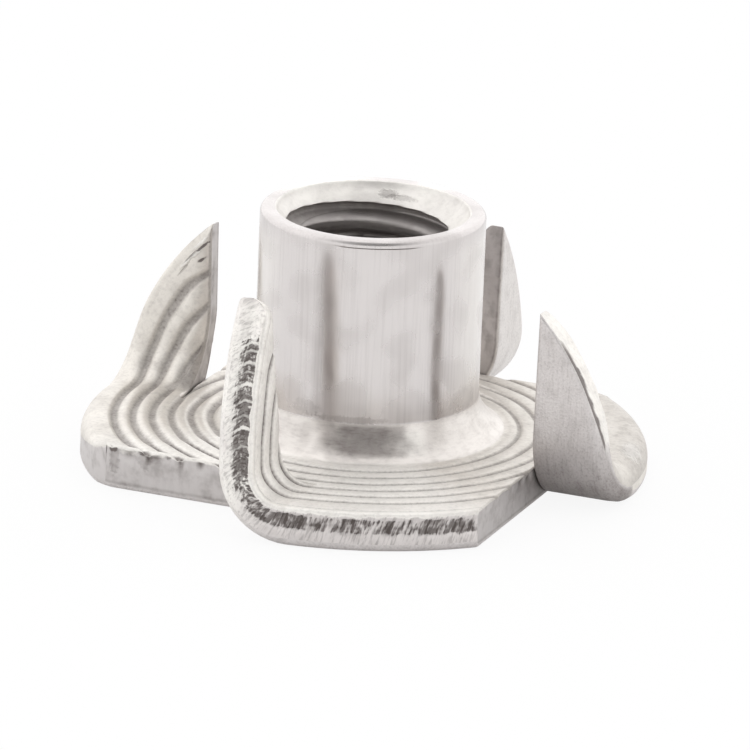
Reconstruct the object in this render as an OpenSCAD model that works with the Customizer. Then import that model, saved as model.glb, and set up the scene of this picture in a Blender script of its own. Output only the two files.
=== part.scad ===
// Four-prong tee nut. One round sheet blank carries the whole part: its middle is
// drawn up into a threaded barrel, and four tabs, each cut free along one side, are
// folded up into a pinwheel of prongs whose edges are still the blank's round rim.
// Frame: origin on the barrel's axis at the underside of the flange, +Z up the barrel.

/* [Thread] */

// nominal diameter of the metric thread, mm
thread_d = 6; // [5:0.25:6.5]
// pitch of the thread, mm
thread_pitch = 1; // [0.7:0.05:1.25]

/* [Barrel] */

// outside diameter of the barrel, mm
barrel_d = 7.7; // [7.4:0.1:9]
// height from the underside of the flange to the barrel's mouth, mm
overall_h = 9; // [8:0.25:14]
// width of the flat lip round the mouth, mm
lip_w = 0.55; // [0.3:0.05:0.8]
// depth of the steep part of the countersink, mm
countersink_depth = 0.5; // [0.2:0.05:1]
// rounding of the lip's outer edge, mm
lip_round = 0.15; // [0.05:0.01:0.25]
// how far the flared foot reaches out from the barrel, mm
foot_w = 0.9; // [0.4:0.05:1.1]
// height of the flared foot above the flange, mm
foot_h = 1.15; // [0.6:0.05:1.6]
// radius of the foot's hollow face, mm
foot_hollow_r = 1.8; // [1.2:0.1:4]
// radius of the drawn edge where the bore leaves the underside, mm
mouth_round = 1.1; // [0.5:0.05:1.4]

/* [Blank] */

// diameter of the round blank, which is the flange's diameter, mm
flange_d = 19.4; // [18:0.2:24]
// thickness of the flange, mm
sheet_t = 1.4; // [1:0.05:1.8]
// radius of the rolled edge that blanking leaves on the underside, mm
rim_roll = 0.3; // [0.1:0.05:0.45]
// height of the torn band along the upper side of the rim, mm
tear_h = 0.5; // [0.2:0.05:0.6]
// how far the torn band falls back from the rim, mm
tear_depth = 0.08; // [0.02:0.01:0.15]

/* [Forming rings] */

// distance between neighbouring rings, mm
ring_pitch = 0.66; // [0.5:0.01:0.9]
// distance from the blank's edge in to the first ring, mm
ring_margin = 1.12; // [0.6:0.02:1.6]
// width of a ring, mm
ring_w = 0.28; // [0.1:0.01:0.35]
// depth of a ring, mm
ring_depth = 0.09; // [0.03:0.01:0.12]

/* [Prongs] */

// thickness of a prong, mm
prong_t = 1.1; // [0.8:0.05:1.4]
// outer radius of the fold, mm
fold_outer_r = 2.55; // [2.4:0.05:3.2]
// inner radius of the fold, mm
fold_inner_r = 1.3; // [0.8:0.05:1.4]
// how far past the middle of its straight cut each fold starts, mm
fold_offset = 0.4; // [0:0.05:0.8]
// how much of the sharp point is lost at the tip, mm
tip_blunt = 0.2; // [0.1:0.05:0.6]
// rounding of the tip on the side of the barrel, mm
tip_round = 0.75; // [0.2:0.05:1]

/* [Press scatter, prong by prong] */

// how far each cut lies outside the square through the corners, mm
cut_shift = [0, 0, -0.2, 0]; // [-0.5:0.05:0.3]
// how deep the upper edge of the lobe next to each prong is rounded away, mm
lobe_wear = [0.75, 0.1, 0.45, 0.1]; // [0.05:0.05:0.9]
// how much sooner each fold starts, mm
fold_shift = [0, 0.65, -0.1, 0]; // [-0.5:0.05:0.8]
// how far each prong stands from upright, outward positive, degrees
prong_lean = [-2, 6, 5, 1]; // [-12:1:12]

/* [Show] */

// sub-part to build

/* [Hidden] */

$fn = 96;
eps = 0.01;
// how far a fold's arcs run past the faces they meet, so that they cross cleanly
crossing = 0.002;
// direction in which a lobe wears most, from its prong's own x axis, degrees
wear_angle = 34;
// how far the axis of that rounding lies behind the barrel's
wear_back = 3;
steel = [0.72, 0.70, 0.68];

blank_r = flange_d / 2;
barrel_r = barrel_d / 2;
major_r = thread_d / 2;
bore_r = (thread_d - thread_pitch) / 2;
lip_r = barrel_r - lip_w;
countersink_r = min(major_r, lip_r - eps);
lead_h = countersink_r - bore_r;

prong_count = len(prong_lean);
prong_step = 360 / prong_count;

foot_r = barrel_r + foot_w;
// The foot's hollow face is an arc from its top, on the barrel, to its toe.
foot_top = [barrel_r, sheet_t + foot_h];
foot_toe = [foot_r, sheet_t];
foot_chord = foot_toe - foot_top;
foot_outward = [-foot_chord.y, foot_chord.x] / norm(foot_chord);
foot_back = sqrt(pow(foot_hollow_r, 2) - pow(norm(foot_chord) / 2, 2));
foot_centre = (foot_top + foot_toe) / 2 + foot_back * foot_outward;
ring_count = floor((blank_r - ring_margin - ring_w - foot_r) / ring_pitch) + 1;

function cut_x(i) = blank_r * cos(prong_step / 2) + cut_shift[i];
function cut_half(i) = sqrt(pow(blank_r, 2) - pow(cut_x(i), 2));
function fold_y(i) = fold_offset + fold_shift[i];
function ring_r(i) = blank_r - ring_margin - i * ring_pitch;

// The fold turns the sheet through fold_turn; the plate then runs straight on from
// plate_start, and blank_back is how far behind that point the barrel's axis lies,
// measured along the sheet as it was before folding.
function fold_turn(i) = 90 - prong_lean[i];
function fold_length(i) = (fold_inner_r + prong_t / 2) * fold_turn(i) * PI / 180;
function blank_back(i) = fold_length(i) - fold_y(i);
function plate_dir(i) = [cos(fold_turn(i)), sin(fold_turn(i))];
function plate_in(i) = [-sin(fold_turn(i)), cos(fold_turn(i))];
function plate_start(i) = fold_outer_r * [sin(fold_turn(i)), 1 - cos(fold_turn(i))];
function plate_length(i) = cut_half(i) - blank_back(i) - tip_blunt;
function blank_centre(i) = plate_start(i) - blank_back(i) * plate_dir(i);

// Centre of the fold's inner arc: it touches the flange's top and the plate's inner
// face, both moved into the hollow by grow.
function hollow_centre(i) =
    let (rise = sheet_t + fold_inner_r - plate_start(i).y)
    let (reach = prong_t + fold_inner_r - rise * plate_in(i).y)
    [plate_start(i).x + reach / plate_in(i).x, sheet_t + fold_inner_r];

module ring_copies() {
    for (i = [0:ring_count - 1])
        difference() {
            circle(ring_r(i) + ring_w / 2);
            circle(ring_r(i) - ring_w / 2);
        }
}

module on_folded_blank(i) {
    translate([0, fold_y(i) - blank_centre(i).x, blank_centre(i).y])
        rotate([-fold_turn(i), 0, 0])
            children();
}

// Half section of the blank, cut off square above a torn band that falls back.
module torn_section(from_z, thickness, top) {
    back_r = blank_r - tear_depth;
    polygon([
        [0, from_z],
        [blank_r, from_z],
        [blank_r, thickness - tear_h],
        [back_r, thickness],
        [back_r, top],
        [0, top]
    ]);
}

module rolled_edge() {
    translate([blank_r - rim_roll, 0])
        difference() {
            translate([0, -eps])
                square([rim_roll + eps, rim_roll + eps]);
            translate([0, rim_roll])
                circle(rim_roll);
        }
}

// Section across a fold: x runs away from the fold's start, y up from the underside.
module fold_hollow(i, grow) {
    centre = hollow_centre(i);
    radius = fold_inner_r + grow;
    inner_end = centre - radius * plate_in(i);
    far = 2 * overall_h;
    translate(centre)
        circle(radius + crossing);
    polygon([
        [-far, sheet_t - grow],
        [centre.x, sheet_t - grow],
        centre,
        inner_end,
        inner_end + far * plate_dir(i),
        [-far, far]
    ]);
}

module fold_section(i) {
    centre = [0, fold_outer_r];
    corner = [fold_outer_r * tan(fold_turn(i) / 2), 0];
    tip = plate_start(i) + plate_length(i) * plate_dir(i);
    difference() {
        polygon([
            [0, 0],
            corner,
            tip,
            tip + 2 * prong_t * plate_in(i),
            hollow_centre(i),
            [0, hollow_centre(i).y]
        ]);
        difference() {
            polygon([
                centre,
                [0, -eps],
                corner + [eps, -eps],
                plate_start(i) - eps * plate_in(i)
            ]);
            translate(centre)
                circle(fold_outer_r + crossing);
        }
        fold_hollow(i, 0);
    }
}

// What the rounding takes off a tip, in the same section.
module tip_rounding(i) {
    start = plate_start(i);
    translate(start)
        rotate(fold_turn(i))
            translate([plate_length(i) - tip_round, prong_t - tip_round])
                difference() {
                    square(2 * prong_t);
                    circle(tip_round + crossing);
                }
}

module along_fold(i, from_x, to_x) {
    translate([to_x, fold_y(i), 0])
        rotate([90, 0, -90])
            linear_extrude(to_x - from_x)
                children();
}

module prong(i) {
    difference() {
        intersection() {
            along_fold(i, cut_x(i), blank_r + eps)
                difference() {
                    fold_section(i);
                    tip_rounding(i);
                }
            on_folded_blank(i)
                rotate(180)
                    rotate_extrude()
                        torn_section(-prong_t, prong_t, 2 * fold_outer_r);
        }
        intersection() {
            along_fold(i, cut_x(i) - eps, blank_r + eps)
                fold_hollow(i, ring_depth);
            on_folded_blank(i)
                linear_extrude(2 * fold_outer_r)
                    ring_copies();
        }
    }
}

module tab_gap(i) {
    translate([cut_x(i), -blank_r, -eps])
        cube([blank_r, blank_r + fold_y(i), sheet_t + 2 * eps]);
}

// What wear takes off the upper edge of a lobe. It turns about an axis behind the
// barrel's, so that it fades out towards the fold.
module lobe_rounding(i) {
    reach = wear_back + blank_r - lobe_wear[i];
    rotate(wear_angle)
        translate([-wear_back, 0, sheet_t - lobe_wear[i]])
            rotate(180)
                rotate_extrude()
                    difference() {
                        translate([reach, 0])
                            square(2 * wear_back);
                        translate([reach, 0])
                            circle(lobe_wear[i]);
                    }
}

module flange() {
    difference() {
        rotate_extrude()
            difference() {
                torn_section(0, sheet_t, sheet_t);
                rolled_edge();
            }
        translate([0, 0, sheet_t - ring_depth])
            linear_extrude(2 * ring_depth)
                ring_copies();
        for (i = [0:prong_count - 1])
            rotate(-i * prong_step) {
                tab_gap(i);
                lobe_rounding(i);
            }
    }
}

// The barrel's wall, with its flared foot and the rounded lip.
module barrel_wall() {
    rotate_extrude() {
        difference() {
            polygon([
                [0, 0],
                [foot_r, 0],
                foot_toe,
                foot_top,
                [0, foot_top.y]
            ]);
            translate(foot_centre)
                circle(foot_hollow_r);
        }
        square([barrel_r, overall_h - lip_round]);
        square([barrel_r - lip_round, overall_h]);
        translate([barrel_r - lip_round, overall_h - lip_round])
            circle(lip_round);
    }
}

// Everything the bore takes away: drawn edge below, plain bore, lead and countersink.
module bore() {
    steep_z = overall_h - countersink_depth;
    rotate_extrude() {
        translate([0, -eps])
            square([bore_r, overall_h + 2 * eps]);
        difference() {
            translate([0, -eps])
                square([bore_r + mouth_round, mouth_round + eps]);
            translate([bore_r + mouth_round, mouth_round])
                circle(mouth_round);
        }
        polygon([
            [0, steep_z - lead_h],
            [bore_r, steep_z - lead_h],
            [countersink_r, steep_z],
            [lip_r, overall_h],
            [lip_r, overall_h + eps],
            [0, overall_h + eps]
        ]);
    }
}

module tee_nut() {
    color(steel)
        difference() {
            union() {
                flange();
                barrel_wall();
                for (i = [0:prong_count - 1])
                    rotate(-i * prong_step)
                        prong(i);
            }
            bore();
        }
}

tee_nut();
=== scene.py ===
"""A four-prong tee nut in satin steel, standing on a pale studio floor.

The nut is one closed mesh. The flange and its prongs are made as a flat round blank
first, with its rings, rims and cuts, and are then folded the way the press folds them.
Lengths are in millimetres until the mesh is written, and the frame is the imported
model's: origin on the barrel's axis at the underside of the flange, +Z up the barrel.
Directions round the axis are in degrees, from +X towards +Y.
"""

import logging
import math
from collections.abc import Callable, Iterable, Sequence
from dataclasses import dataclass, field
from enum import Enum, IntEnum

import bmesh
import bpy
import numpy as np
from mathutils import Matrix, Vector, noise


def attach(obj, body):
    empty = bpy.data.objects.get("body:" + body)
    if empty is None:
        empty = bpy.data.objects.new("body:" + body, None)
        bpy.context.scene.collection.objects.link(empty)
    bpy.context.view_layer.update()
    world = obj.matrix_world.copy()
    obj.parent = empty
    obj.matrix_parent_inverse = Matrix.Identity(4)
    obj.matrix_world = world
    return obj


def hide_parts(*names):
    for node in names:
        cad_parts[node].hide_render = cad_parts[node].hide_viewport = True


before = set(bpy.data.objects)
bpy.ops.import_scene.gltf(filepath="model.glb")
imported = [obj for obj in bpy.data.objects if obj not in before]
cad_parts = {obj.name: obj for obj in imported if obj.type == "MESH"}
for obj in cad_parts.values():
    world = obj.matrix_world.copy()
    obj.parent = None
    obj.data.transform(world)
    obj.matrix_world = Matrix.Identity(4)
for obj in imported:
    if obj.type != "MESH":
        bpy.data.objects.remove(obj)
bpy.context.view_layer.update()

LOG = logging.getLogger("tee_nut")
MM = 0.001
WHITE = (1, 1, 1, 1)
GRAIN_PLACE = "grain_place"
WALL_PLACE = "wall_place"
# the blank: vertices in one row round the axis, radius and thickness
AROUND = 288
BLANK_R = 9.69
BLANK_T = 1.4
# how near counts as on the rim, as touching and as nothing
ON_RIM = 0.02
TOUCH = 0.001
TINY = 1e-6

Array = np.ndarray
Number = float | np.ndarray
Edge = tuple[int, int]
Pair = tuple[float, float]
Triple = tuple[float, float, float]
Ease = tuple[float, float, float, float]


class Zone(Enum):
    """The finishes of the nut's surfaces, in the order of its material slots."""

    FACE = 0
    RIM = 1
    CUT = 2
    BARREL = 3
    THREAD = 4
    UNDERSIDE = 5
    FOOT = 6
    MOUTH = 7


class Mask(Enum):
    """What is stored on the mesh for its materials, from 0 to 1."""

    TORN = "torn"
    GROOVE = "groove"
    # stain: dirt, with painted shade and painted reflections
    STAIN = "stain"
    # pale: rubbed bright, with painted highlights and painted sheen
    PALE = "pale"


class Tab(IntEnum):
    """The part of the blank that a place lies on: the flange, or one of the prongs."""

    FLANGE = -1
    FRONT_RIGHT = 0
    FRONT_LEFT = 1
    BACK_LEFT = 2
    BACK_RIGHT = 3


WALL_ORDER = (Zone.CUT, Zone.RIM, Zone.FACE, Zone.UNDERSIDE)


def smoothstep(low: Number, high: Number, value: Number) -> Array:
    """Eases each value from 0 at low to 1 at high, which may be the smaller of the two."""
    t = np.clip((value - low) / (high - low), 0.0, 1.0)
    return t * t * (3 - 2 * t)


def between(first: Number, second: Number, share: Number) -> Array:
    """Goes from the first value, where the share is 0, to the second, where it is 1."""
    return first + (second - first) * share


def round_drop(distance: Array, radius: Number) -> Array:
    """How far a face falls at each distance in from an edge that is rounded to a radius."""
    inside = np.clip(radius - distance, 0.0, radius)
    return radius - np.sqrt(np.maximum(radius**2 - inside**2, 0.0))


def bearing(place: Array) -> Array:
    """Direction of each place from the axis, from -180 to 180 degrees."""
    return np.degrees(np.arctan2(place[:, 1], place[:, 0]))


def from_axis(place: Array) -> Array:
    """Distance of each place from the axis."""
    return np.hypot(place[:, 0], place[:, 1])


def apart(degrees: Array, facing: float) -> Array:
    """Angle between each direction and one that is given, from 0 to 180 degrees."""
    return np.abs((degrees - facing + 180) % 360 - 180)


def raised(place: Array, height: Number = 0.0) -> Array:
    """Gives places in the plane a height."""
    return np.column_stack([place, np.broadcast_to(height, len(place))])


def around() -> Array:
    """Directions of the vertices in one row, in radians."""
    return np.arange(AROUND) * 2 * math.pi / AROUND


def circle(angle: Array, radius: Number, z: float) -> Array:
    """Places on a level ring, one at each angle in radians."""
    return raised(np.column_stack([radius * np.cos(angle), radius * np.sin(angle)]), z)


@dataclass(frozen=True)
class Noise:
    """Smooth noise over a surface, with its repeats per mm, seed, swing and mean."""

    scale: Triple
    seed: float
    swing: float = 1.0
    mean: float = 0.0

    def at(self, points: Array) -> Array:
        """The noise's value at each point."""
        placed = points * np.array(self.scale) + self.seed
        return self.mean + self.swing * np.array([noise.noise(Vector(p)) for p in placed])


@dataclass(frozen=True)
class Ramp:
    """An ease from 0 at start to 1 at full."""

    start: float
    full: float

    def share(self, value: Number) -> Array:
        """How far up the ramp each value lies, from 0 to 1."""
        return smoothstep(self.start, self.full, value)


@dataclass(frozen=True)
class Span:
    """A range that fades in from start to full, and out from fade to end."""

    start: float
    full: float
    fade: float
    end: float

    def share(self, value: Number) -> Array:
        """How far inside the range each value lies, from 0 to 1."""
        return smoothstep(self.start, self.full, value) * smoothstep(self.end, self.fade, value)


@dataclass(frozen=True)
class Arc(Span):
    """A range of directions round the axis, in degrees."""

    def share(self, value: Number) -> Array:
        """How far inside the range each direction lies, from 0 to 1."""
        middle = (self.start + self.end) / 2
        return super().share(middle + (value - middle + 180) % 360 - 180)


@dataclass(frozen=True)
class Rings:
    """The forming rings pressed into the upper face: flat grooves with lands between."""

    pitch: float = 0.66
    margin: float = 1.12
    count: int = 6
    width: float = 0.24
    drawn_width: float = 0.42
    drawn_paler: float = 0.3
    wall: float = 0.075
    depth: float = 0.085
    edge_margin: float = 0.27
    edge_width: float = 0.1
    edge_depth: float = 0.045
    edge_flatter: float = 0.85
    edge_darker: float = 0.2
    crown: float = 0.014
    crown_end: float = 0.3
    corner: float = 0.3
    clearance: float = 0.02
    drawn_reach: float = 0.03
    uneven: Noise = Noise((0.5, 0.5, 1), 11.0, 0.3, 1.0)

    def grooves(self, blank_r: float) -> list[Triple]:
        """Places and sections of the grooves.

        Args:
            blank_r: radius of the blank.

        Returns:
            Radius, width and depth of each groove, from the foot out to the rim.
        """
        rings = [
            (blank_r - self.margin - i * self.pitch, self.width, self.depth)
            for i in reversed(range(self.count))
        ]
        return [*rings, (blank_r - self.edge_margin, self.edge_width, self.edge_depth)]

    def rows(self, blank_r: float, foot_r: float) -> list[float]:
        """Radii of the net's rows that draw the grooves and the lands.

        Args:
            blank_r: radius of the blank.
            foot_r: radius at which the barrel's foot starts.

        Returns:
            The radii, from the foot outwards.
        """
        radii, last = [foot_r], foot_r
        for radius, width, _ in self.grooves(blank_r):
            half = width / 2
            outside = half + self.clearance
            radii.append((last + radius - outside) / 2)
            shares = (-outside, self.corner * self.wall - half, self.wall - half, 0)
            radii += [radius + s for s in shares] + [radius - s for s in shares[:3]]
            last = radius + outside
        return radii

    def relief(self, place: Array, blank_r: float, broad: Array) -> tuple[Array, Array]:
        """Depth of the rings under the face.

        Args:
            place: n x 2 places on the flat blank.
            blank_r: radius of the blank.
            broad: how far the rings are drawn out, which leaves them paler.

        Returns:
            n depths, positive downwards, and how far down in a groove each place lies.
        """
        radius = from_axis(place)
        fall, inside = np.zeros(len(place)), np.zeros(len(place))
        for groove_r, width, depth in self.grooves(blank_r):
            share = smoothstep(width / 2, width / 2 - self.wall, np.abs(radius - groove_r))
            if depth != self.depth:
                share = share * (1 - self.edge_flatter * broad)
            darkness = min(1.0, depth / self.depth + self.edge_darker)
            fall = np.maximum(fall, share * depth)
            inside = np.maximum(inside, share * (1 - self.drawn_paler * broad) * darkness)
        outer_r = blank_r - self.margin
        wave = 0.5 + 0.5 * np.cos(2 * math.pi * (radius - outer_r) / self.pitch)
        crown = self.crown * wave * (radius < outer_r + self.crown_end)
        return (fall + crown) * self.uneven.at(raised(place)), inside

    def widen(self, place: Array, blank_r: float, broad: Array) -> Array:
        """How far out each place moves where the grooves are drawn broad.

        Args:
            place: n x 2 places on the flat blank.
            blank_r: radius of the blank.
            broad: how far the rings are drawn out at each place.

        Returns:
            n distances in mm.
        """
        radius = from_axis(place)
        moved = np.zeros(len(place))
        for groove_r, width, depth in self.grooves(blank_r):
            offset = radius - groove_r
            near = (np.abs(offset) < width / 2 + self.drawn_reach) & (depth == self.depth)
            moved = np.where(near, offset * (self.drawn_width / self.width - 1), moved)
        return moved * broad


@dataclass(frozen=True)
class Prong:
    """One tab of the blank, cut free along one side and folded up."""

    tab: Tab
    blank_r: float
    cut_shift: float = 0.0
    kerf: float = 0.05
    sheet: float = BLANK_T
    thickness: float = 1.1
    fold_offset: float = 0.4
    fold_shift: float = 0.0
    lean: float = 0.0
    outer_r: float = 2.55
    inner_r: float = 1.3
    neutral: float = 0.55
    blunt: float = 0.1
    tip_round: float = 0.85
    tip_reach: float = 1.6
    outer_roll: float = 0.2
    heel_roll: float = 0.3
    heel_starts: Ramp = Ramp(-0.6, 0.8)
    roll_from: float = 0.6
    roll_soft: float = 1.2
    edge_round: float = 0.16
    edge_starts: Ramp = Ramp(1.2, 3.4)
    slump: float = 0.0
    slump_least: float = 0.04
    slump_depth: float = 0.18
    slump_from: float = 0.6
    slump_reach: float = 3.1
    slump_root: Ramp = Ramp(0.3, 1.1)
    slump_dark: Ramp = Ramp(0.0, 0.2)
    bow: float = 0.0
    bow_rise: Ramp = Ramp(1.9, 4.2)
    bow_reach: float = 1.3

    @property
    def cut_x(self) -> float:
        """Distance of the straight cut from the axis."""
        return self.blank_r * math.cos(math.pi / 4) + self.cut_shift

    @property
    def half_cut(self) -> float:
        """Half the chord that the cut lies on."""
        return math.sqrt(self.blank_r**2 - self.cut_x**2)

    @property
    def fold_y(self) -> float:
        """Where the fold starts."""
        return self.fold_offset + self.fold_shift

    @property
    def turn(self) -> float:
        """Angle that the fold turns the sheet through, in radians."""
        return math.radians(90 - self.lean)

    @property
    def fold_length(self) -> float:
        """Length of sheet that the fold takes up."""
        return (self.inner_r + self.neutral) * self.turn

    def spin(self, place: Array, sense: int) -> Array:
        """Turns places about the axis, into this prong's own frame or back out of it.

        Args:
            place: places whose last axis starts with x and y.
            sense: 1 into the prong's frame, -1 back.

        Returns:
            The turned places.
        """
        angle = sense * self.tab * math.pi / 2
        c, s = math.cos(angle), math.sin(angle)
        turned = np.array(place, float)
        turned[..., 0] = c * place[..., 0] - s * place[..., 1]
        turned[..., 1] = s * place[..., 0] + c * place[..., 1]
        return turned

    def past_fold(self, place: Array) -> Array:
        """How far each place of the blank lies past the start of the fold."""
        return self.fold_y - self.spin(place, 1)[:, 1]

    def slumped(self, along: Array, to_cut: Array) -> tuple[Array, Array]:
        """How the cut's inner edge droops where the tab was torn round at its root.

        Args:
            along: distance along the flat sheet from the fold's start.
            to_cut: distance in from the cut.

        Returns:
            The droop in mm, and how far into it each place lies, from 0 to 1.
        """
        fade = np.clip(1 - (along - self.slump_from) / self.slump_reach, 0, 1)
        reach = between(self.slump_least, self.slump, fade**2)
        share = np.clip(1 - to_cut / reach, 0, 1)
        root = self.slump_root.share(along)
        droop = root * self.slump_depth * (reach / self.slump) * share**2
        return droop, root * self.slump_dark.share(share)

    def bowed(self, along: Array, to_cut: Array) -> Array:
        """How far the cut's edge bows out between the fold and the tip.

        Args:
            along: distance along the flat sheet from the fold's start.
            to_cut: distance in from the cut.

        Returns:
            The bow at each place, in mm.
        """
        tip, widest = self.fold_y + self.half_cut, self.bow_rise.full
        level = self.bow_rise.share(along) * np.clip((tip - along) / (tip - widest), 0, 1)
        return self.bow * level * np.clip(1 - to_cut / self.bow_reach, 0, 1)

    def edge_drop(self, place: Array, to_cut: Array, cut_roll: float) -> tuple[Array, Array]:
        """How far the inner face falls at the tip, along the cut and at the torn root.

        Args:
            place: n x 2 places on the flat blank.
            to_cut: distance in from the cut.
            cut_roll: radius that the cut's edge starts with at the fold.

        Returns:
            The drop in mm, and how far into the root's droop each place lies.
        """
        along = self.past_fold(place)
        to_tip = self.fold_y - along + self.half_cut - self.blunt
        drop = round_drop(to_tip * self.tip_round / self.tip_reach, self.tip_round)
        edge_r = between(cut_roll, self.edge_round, self.edge_starts.share(along))
        drop = np.maximum(drop, round_drop(to_cut, edge_r))
        if not self.slump:
            return drop, np.zeros(len(place))
        droop, within = self.slumped(along, to_cut)
        return np.maximum(drop, droop), within

    def under_roll(self, along: Array, rim_roll: float) -> Array:
        """Radius of the outer face's rolled edge.

        Args:
            along: distance along the flat sheet from the fold's start.
            rim_roll: radius of the flange's rolled edge, which it starts with.

        Returns:
            The radius at each place.
        """
        heel = between(rim_roll, self.heel_roll, self.heel_starts.share(along))
        turned = smoothstep(self.roll_from - self.roll_soft, self.roll_from + self.roll_soft, along)
        return between(heel, self.outer_roll, turned)

    def section(self, along: Array, height: Array) -> Array:
        """Folds places in the section across the fold.

        Args:
            along: distance along the flat sheet from the fold's start.
            height: share of the thickness, 0 on the outer face and 1 on the inner.

        Returns:
            n x 2: distance out from the fold's start, and height over the underside.
        """
        ahead = np.array([math.cos(self.turn), math.sin(self.turn)])
        inward = np.array([-ahead[1], ahead[0]])
        bend = np.clip(along / self.fold_length, 0, 1) * self.turn
        outer = self.outer_r * np.column_stack([np.sin(bend), 1 - np.cos(bend)])
        outer = outer + np.maximum(along - self.fold_length, 0)[:, None] * ahead

        start = self.outer_r * np.array([math.sin(self.turn), 1 - math.cos(self.turn)])
        rise = self.sheet + self.inner_r - start[1]
        reach = self.thickness + self.inner_r - rise * inward[1]
        centre = np.array([start[0] + reach / inward[0], self.sheet + self.inner_r])
        arc_end = centre - self.inner_r * inward
        run_out = float((arc_end - start - self.thickness * inward) @ ahead)
        run_in = max(float(centre[0]), 0.0)
        whole = self.fold_length + run_out
        walked = along / whole * (run_in + self.inner_r * self.turn)
        angle = np.clip((walked - run_in) / self.inner_r, 0, self.turn)
        curve = centre + self.inner_r * np.column_stack([np.sin(angle), -np.cos(angle)])
        level = walked * centre[0] / max(run_in, TINY)
        straight = np.column_stack([level, np.full(len(along), self.sheet)])
        inner = np.where((walked < run_in)[:, None], straight, curve)
        inner = inner + np.maximum(along - whole, 0)[:, None] * ahead
        return outer + height[:, None] * (inner - outer)

    def local_thickness(self, along: Array) -> Array:
        """Thickness of the sheet at each distance along the fold."""
        ends = np.zeros_like(along)
        return np.linalg.norm(self.section(along, ends + 1) - self.section(along, ends), axis=1)

    def fold(self, flat: Array) -> Array:
        """Folds places of the flat tab.

        Args:
            flat: n x 3 places on the flat blank, in the whole nut's frame.

        Returns:
            n x 3 folded places.
        """
        own = self.spin(flat, 1)
        along = self.fold_y - own[:, 1]
        thick = self.local_thickness(along)
        from_top = 1 - (self.sheet - own[:, 2]) / thick
        true = np.where(own[:, 2] > self.sheet / 2, from_top, own[:, 2] / thick)
        middle = np.clip(own[:, 2] / self.sheet, 0, 1)
        height = middle + (true - middle) * np.abs(middle - 0.5) * 2
        folded = self.section(along, height)
        across = own[:, 0] - self.bowed(along, own[:, 0] - self.cut_x)
        own = np.column_stack([across, self.fold_y - folded[:, 0], folded[:, 1]])
        return self.spin(own, -1)


@dataclass
class MeshParts:
    """Vertices, faces and what is stored on them, gathered before the mesh is made."""

    points: list[Array] = field(default_factory=list)
    grain: list[Array] = field(default_factory=list)
    wall_grain: list[Array] = field(default_factory=list)
    masks: dict[Mask, list[Array]] = field(default_factory=lambda: {m: [] for m in Mask})
    faces: list[tuple[int, ...]] = field(default_factory=list)
    zones: list[int] = field(default_factory=list)
    size: int = 0

    def add_points(
        self, points: Array, grain: Array, wall_grain: Array | None = None, **masks: Array
    ) -> Array:
        """Adds vertices.

        Args:
            points: n x 3 places of the vertices.
            grain: n x 3 places that the materials' grain follows.
            wall_grain: the same for the side walls' materials, where it differs.
            masks: n values for each named mask that isn't 0.

        Returns:
            The new vertices' numbers.
        """
        count = len(points)
        self.points.append(points)
        self.grain.append(grain)
        self.wall_grain.append(grain if wall_grain is None else wall_grain)
        for mask, stored in self.masks.items():
            stored.append(np.asarray(masks.get(mask.value, np.zeros(count)), float))
        numbers = np.arange(self.size, self.size + count)
        self.size += count
        return numbers

    def add_faces(self, faces: Iterable[Sequence[int]], zone: Zone) -> None:
        """Adds faces that share one finish.

        Args:
            faces: the vertices' numbers of each face.
            zone: the finish.
        """
        before = len(self.faces)
        self.faces.extend(tuple(int(i) for i in f) for f in faces)
        self.zones.extend([zone.value] * (len(self.faces) - before))

    def add_band(self, low: Array, high: Array, zone: Zone) -> None:
        """Adds a ring of quads between two closed rows of vertices."""
        low_next, high_next = np.roll(low, -1), np.roll(high, -1)
        self.add_faces(np.column_stack([low, low_next, high_next, high]), zone)

    def add_row(self, last: Array, points: Array, zone: Zone, **masks: Array) -> Array:
        """Adds a closed row of vertices, and the band that joins it to the last one.

        Args:
            last: the last row's vertices.
            points: n x 3 places of the new row.
            zone: the band's finish.
            masks: n values for each named mask that isn't 0.

        Returns:
            The new row's vertices.
        """
        row = self.add_points(points, points, **masks)
        self.add_band(last, row, zone)
        return row


@dataclass(frozen=True)
class WornLobe:
    """A stretch of the rim whose upper edge is worn round, in places down to bare steel."""

    arc: Arc
    radius: float
    bare: bool = False


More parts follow.
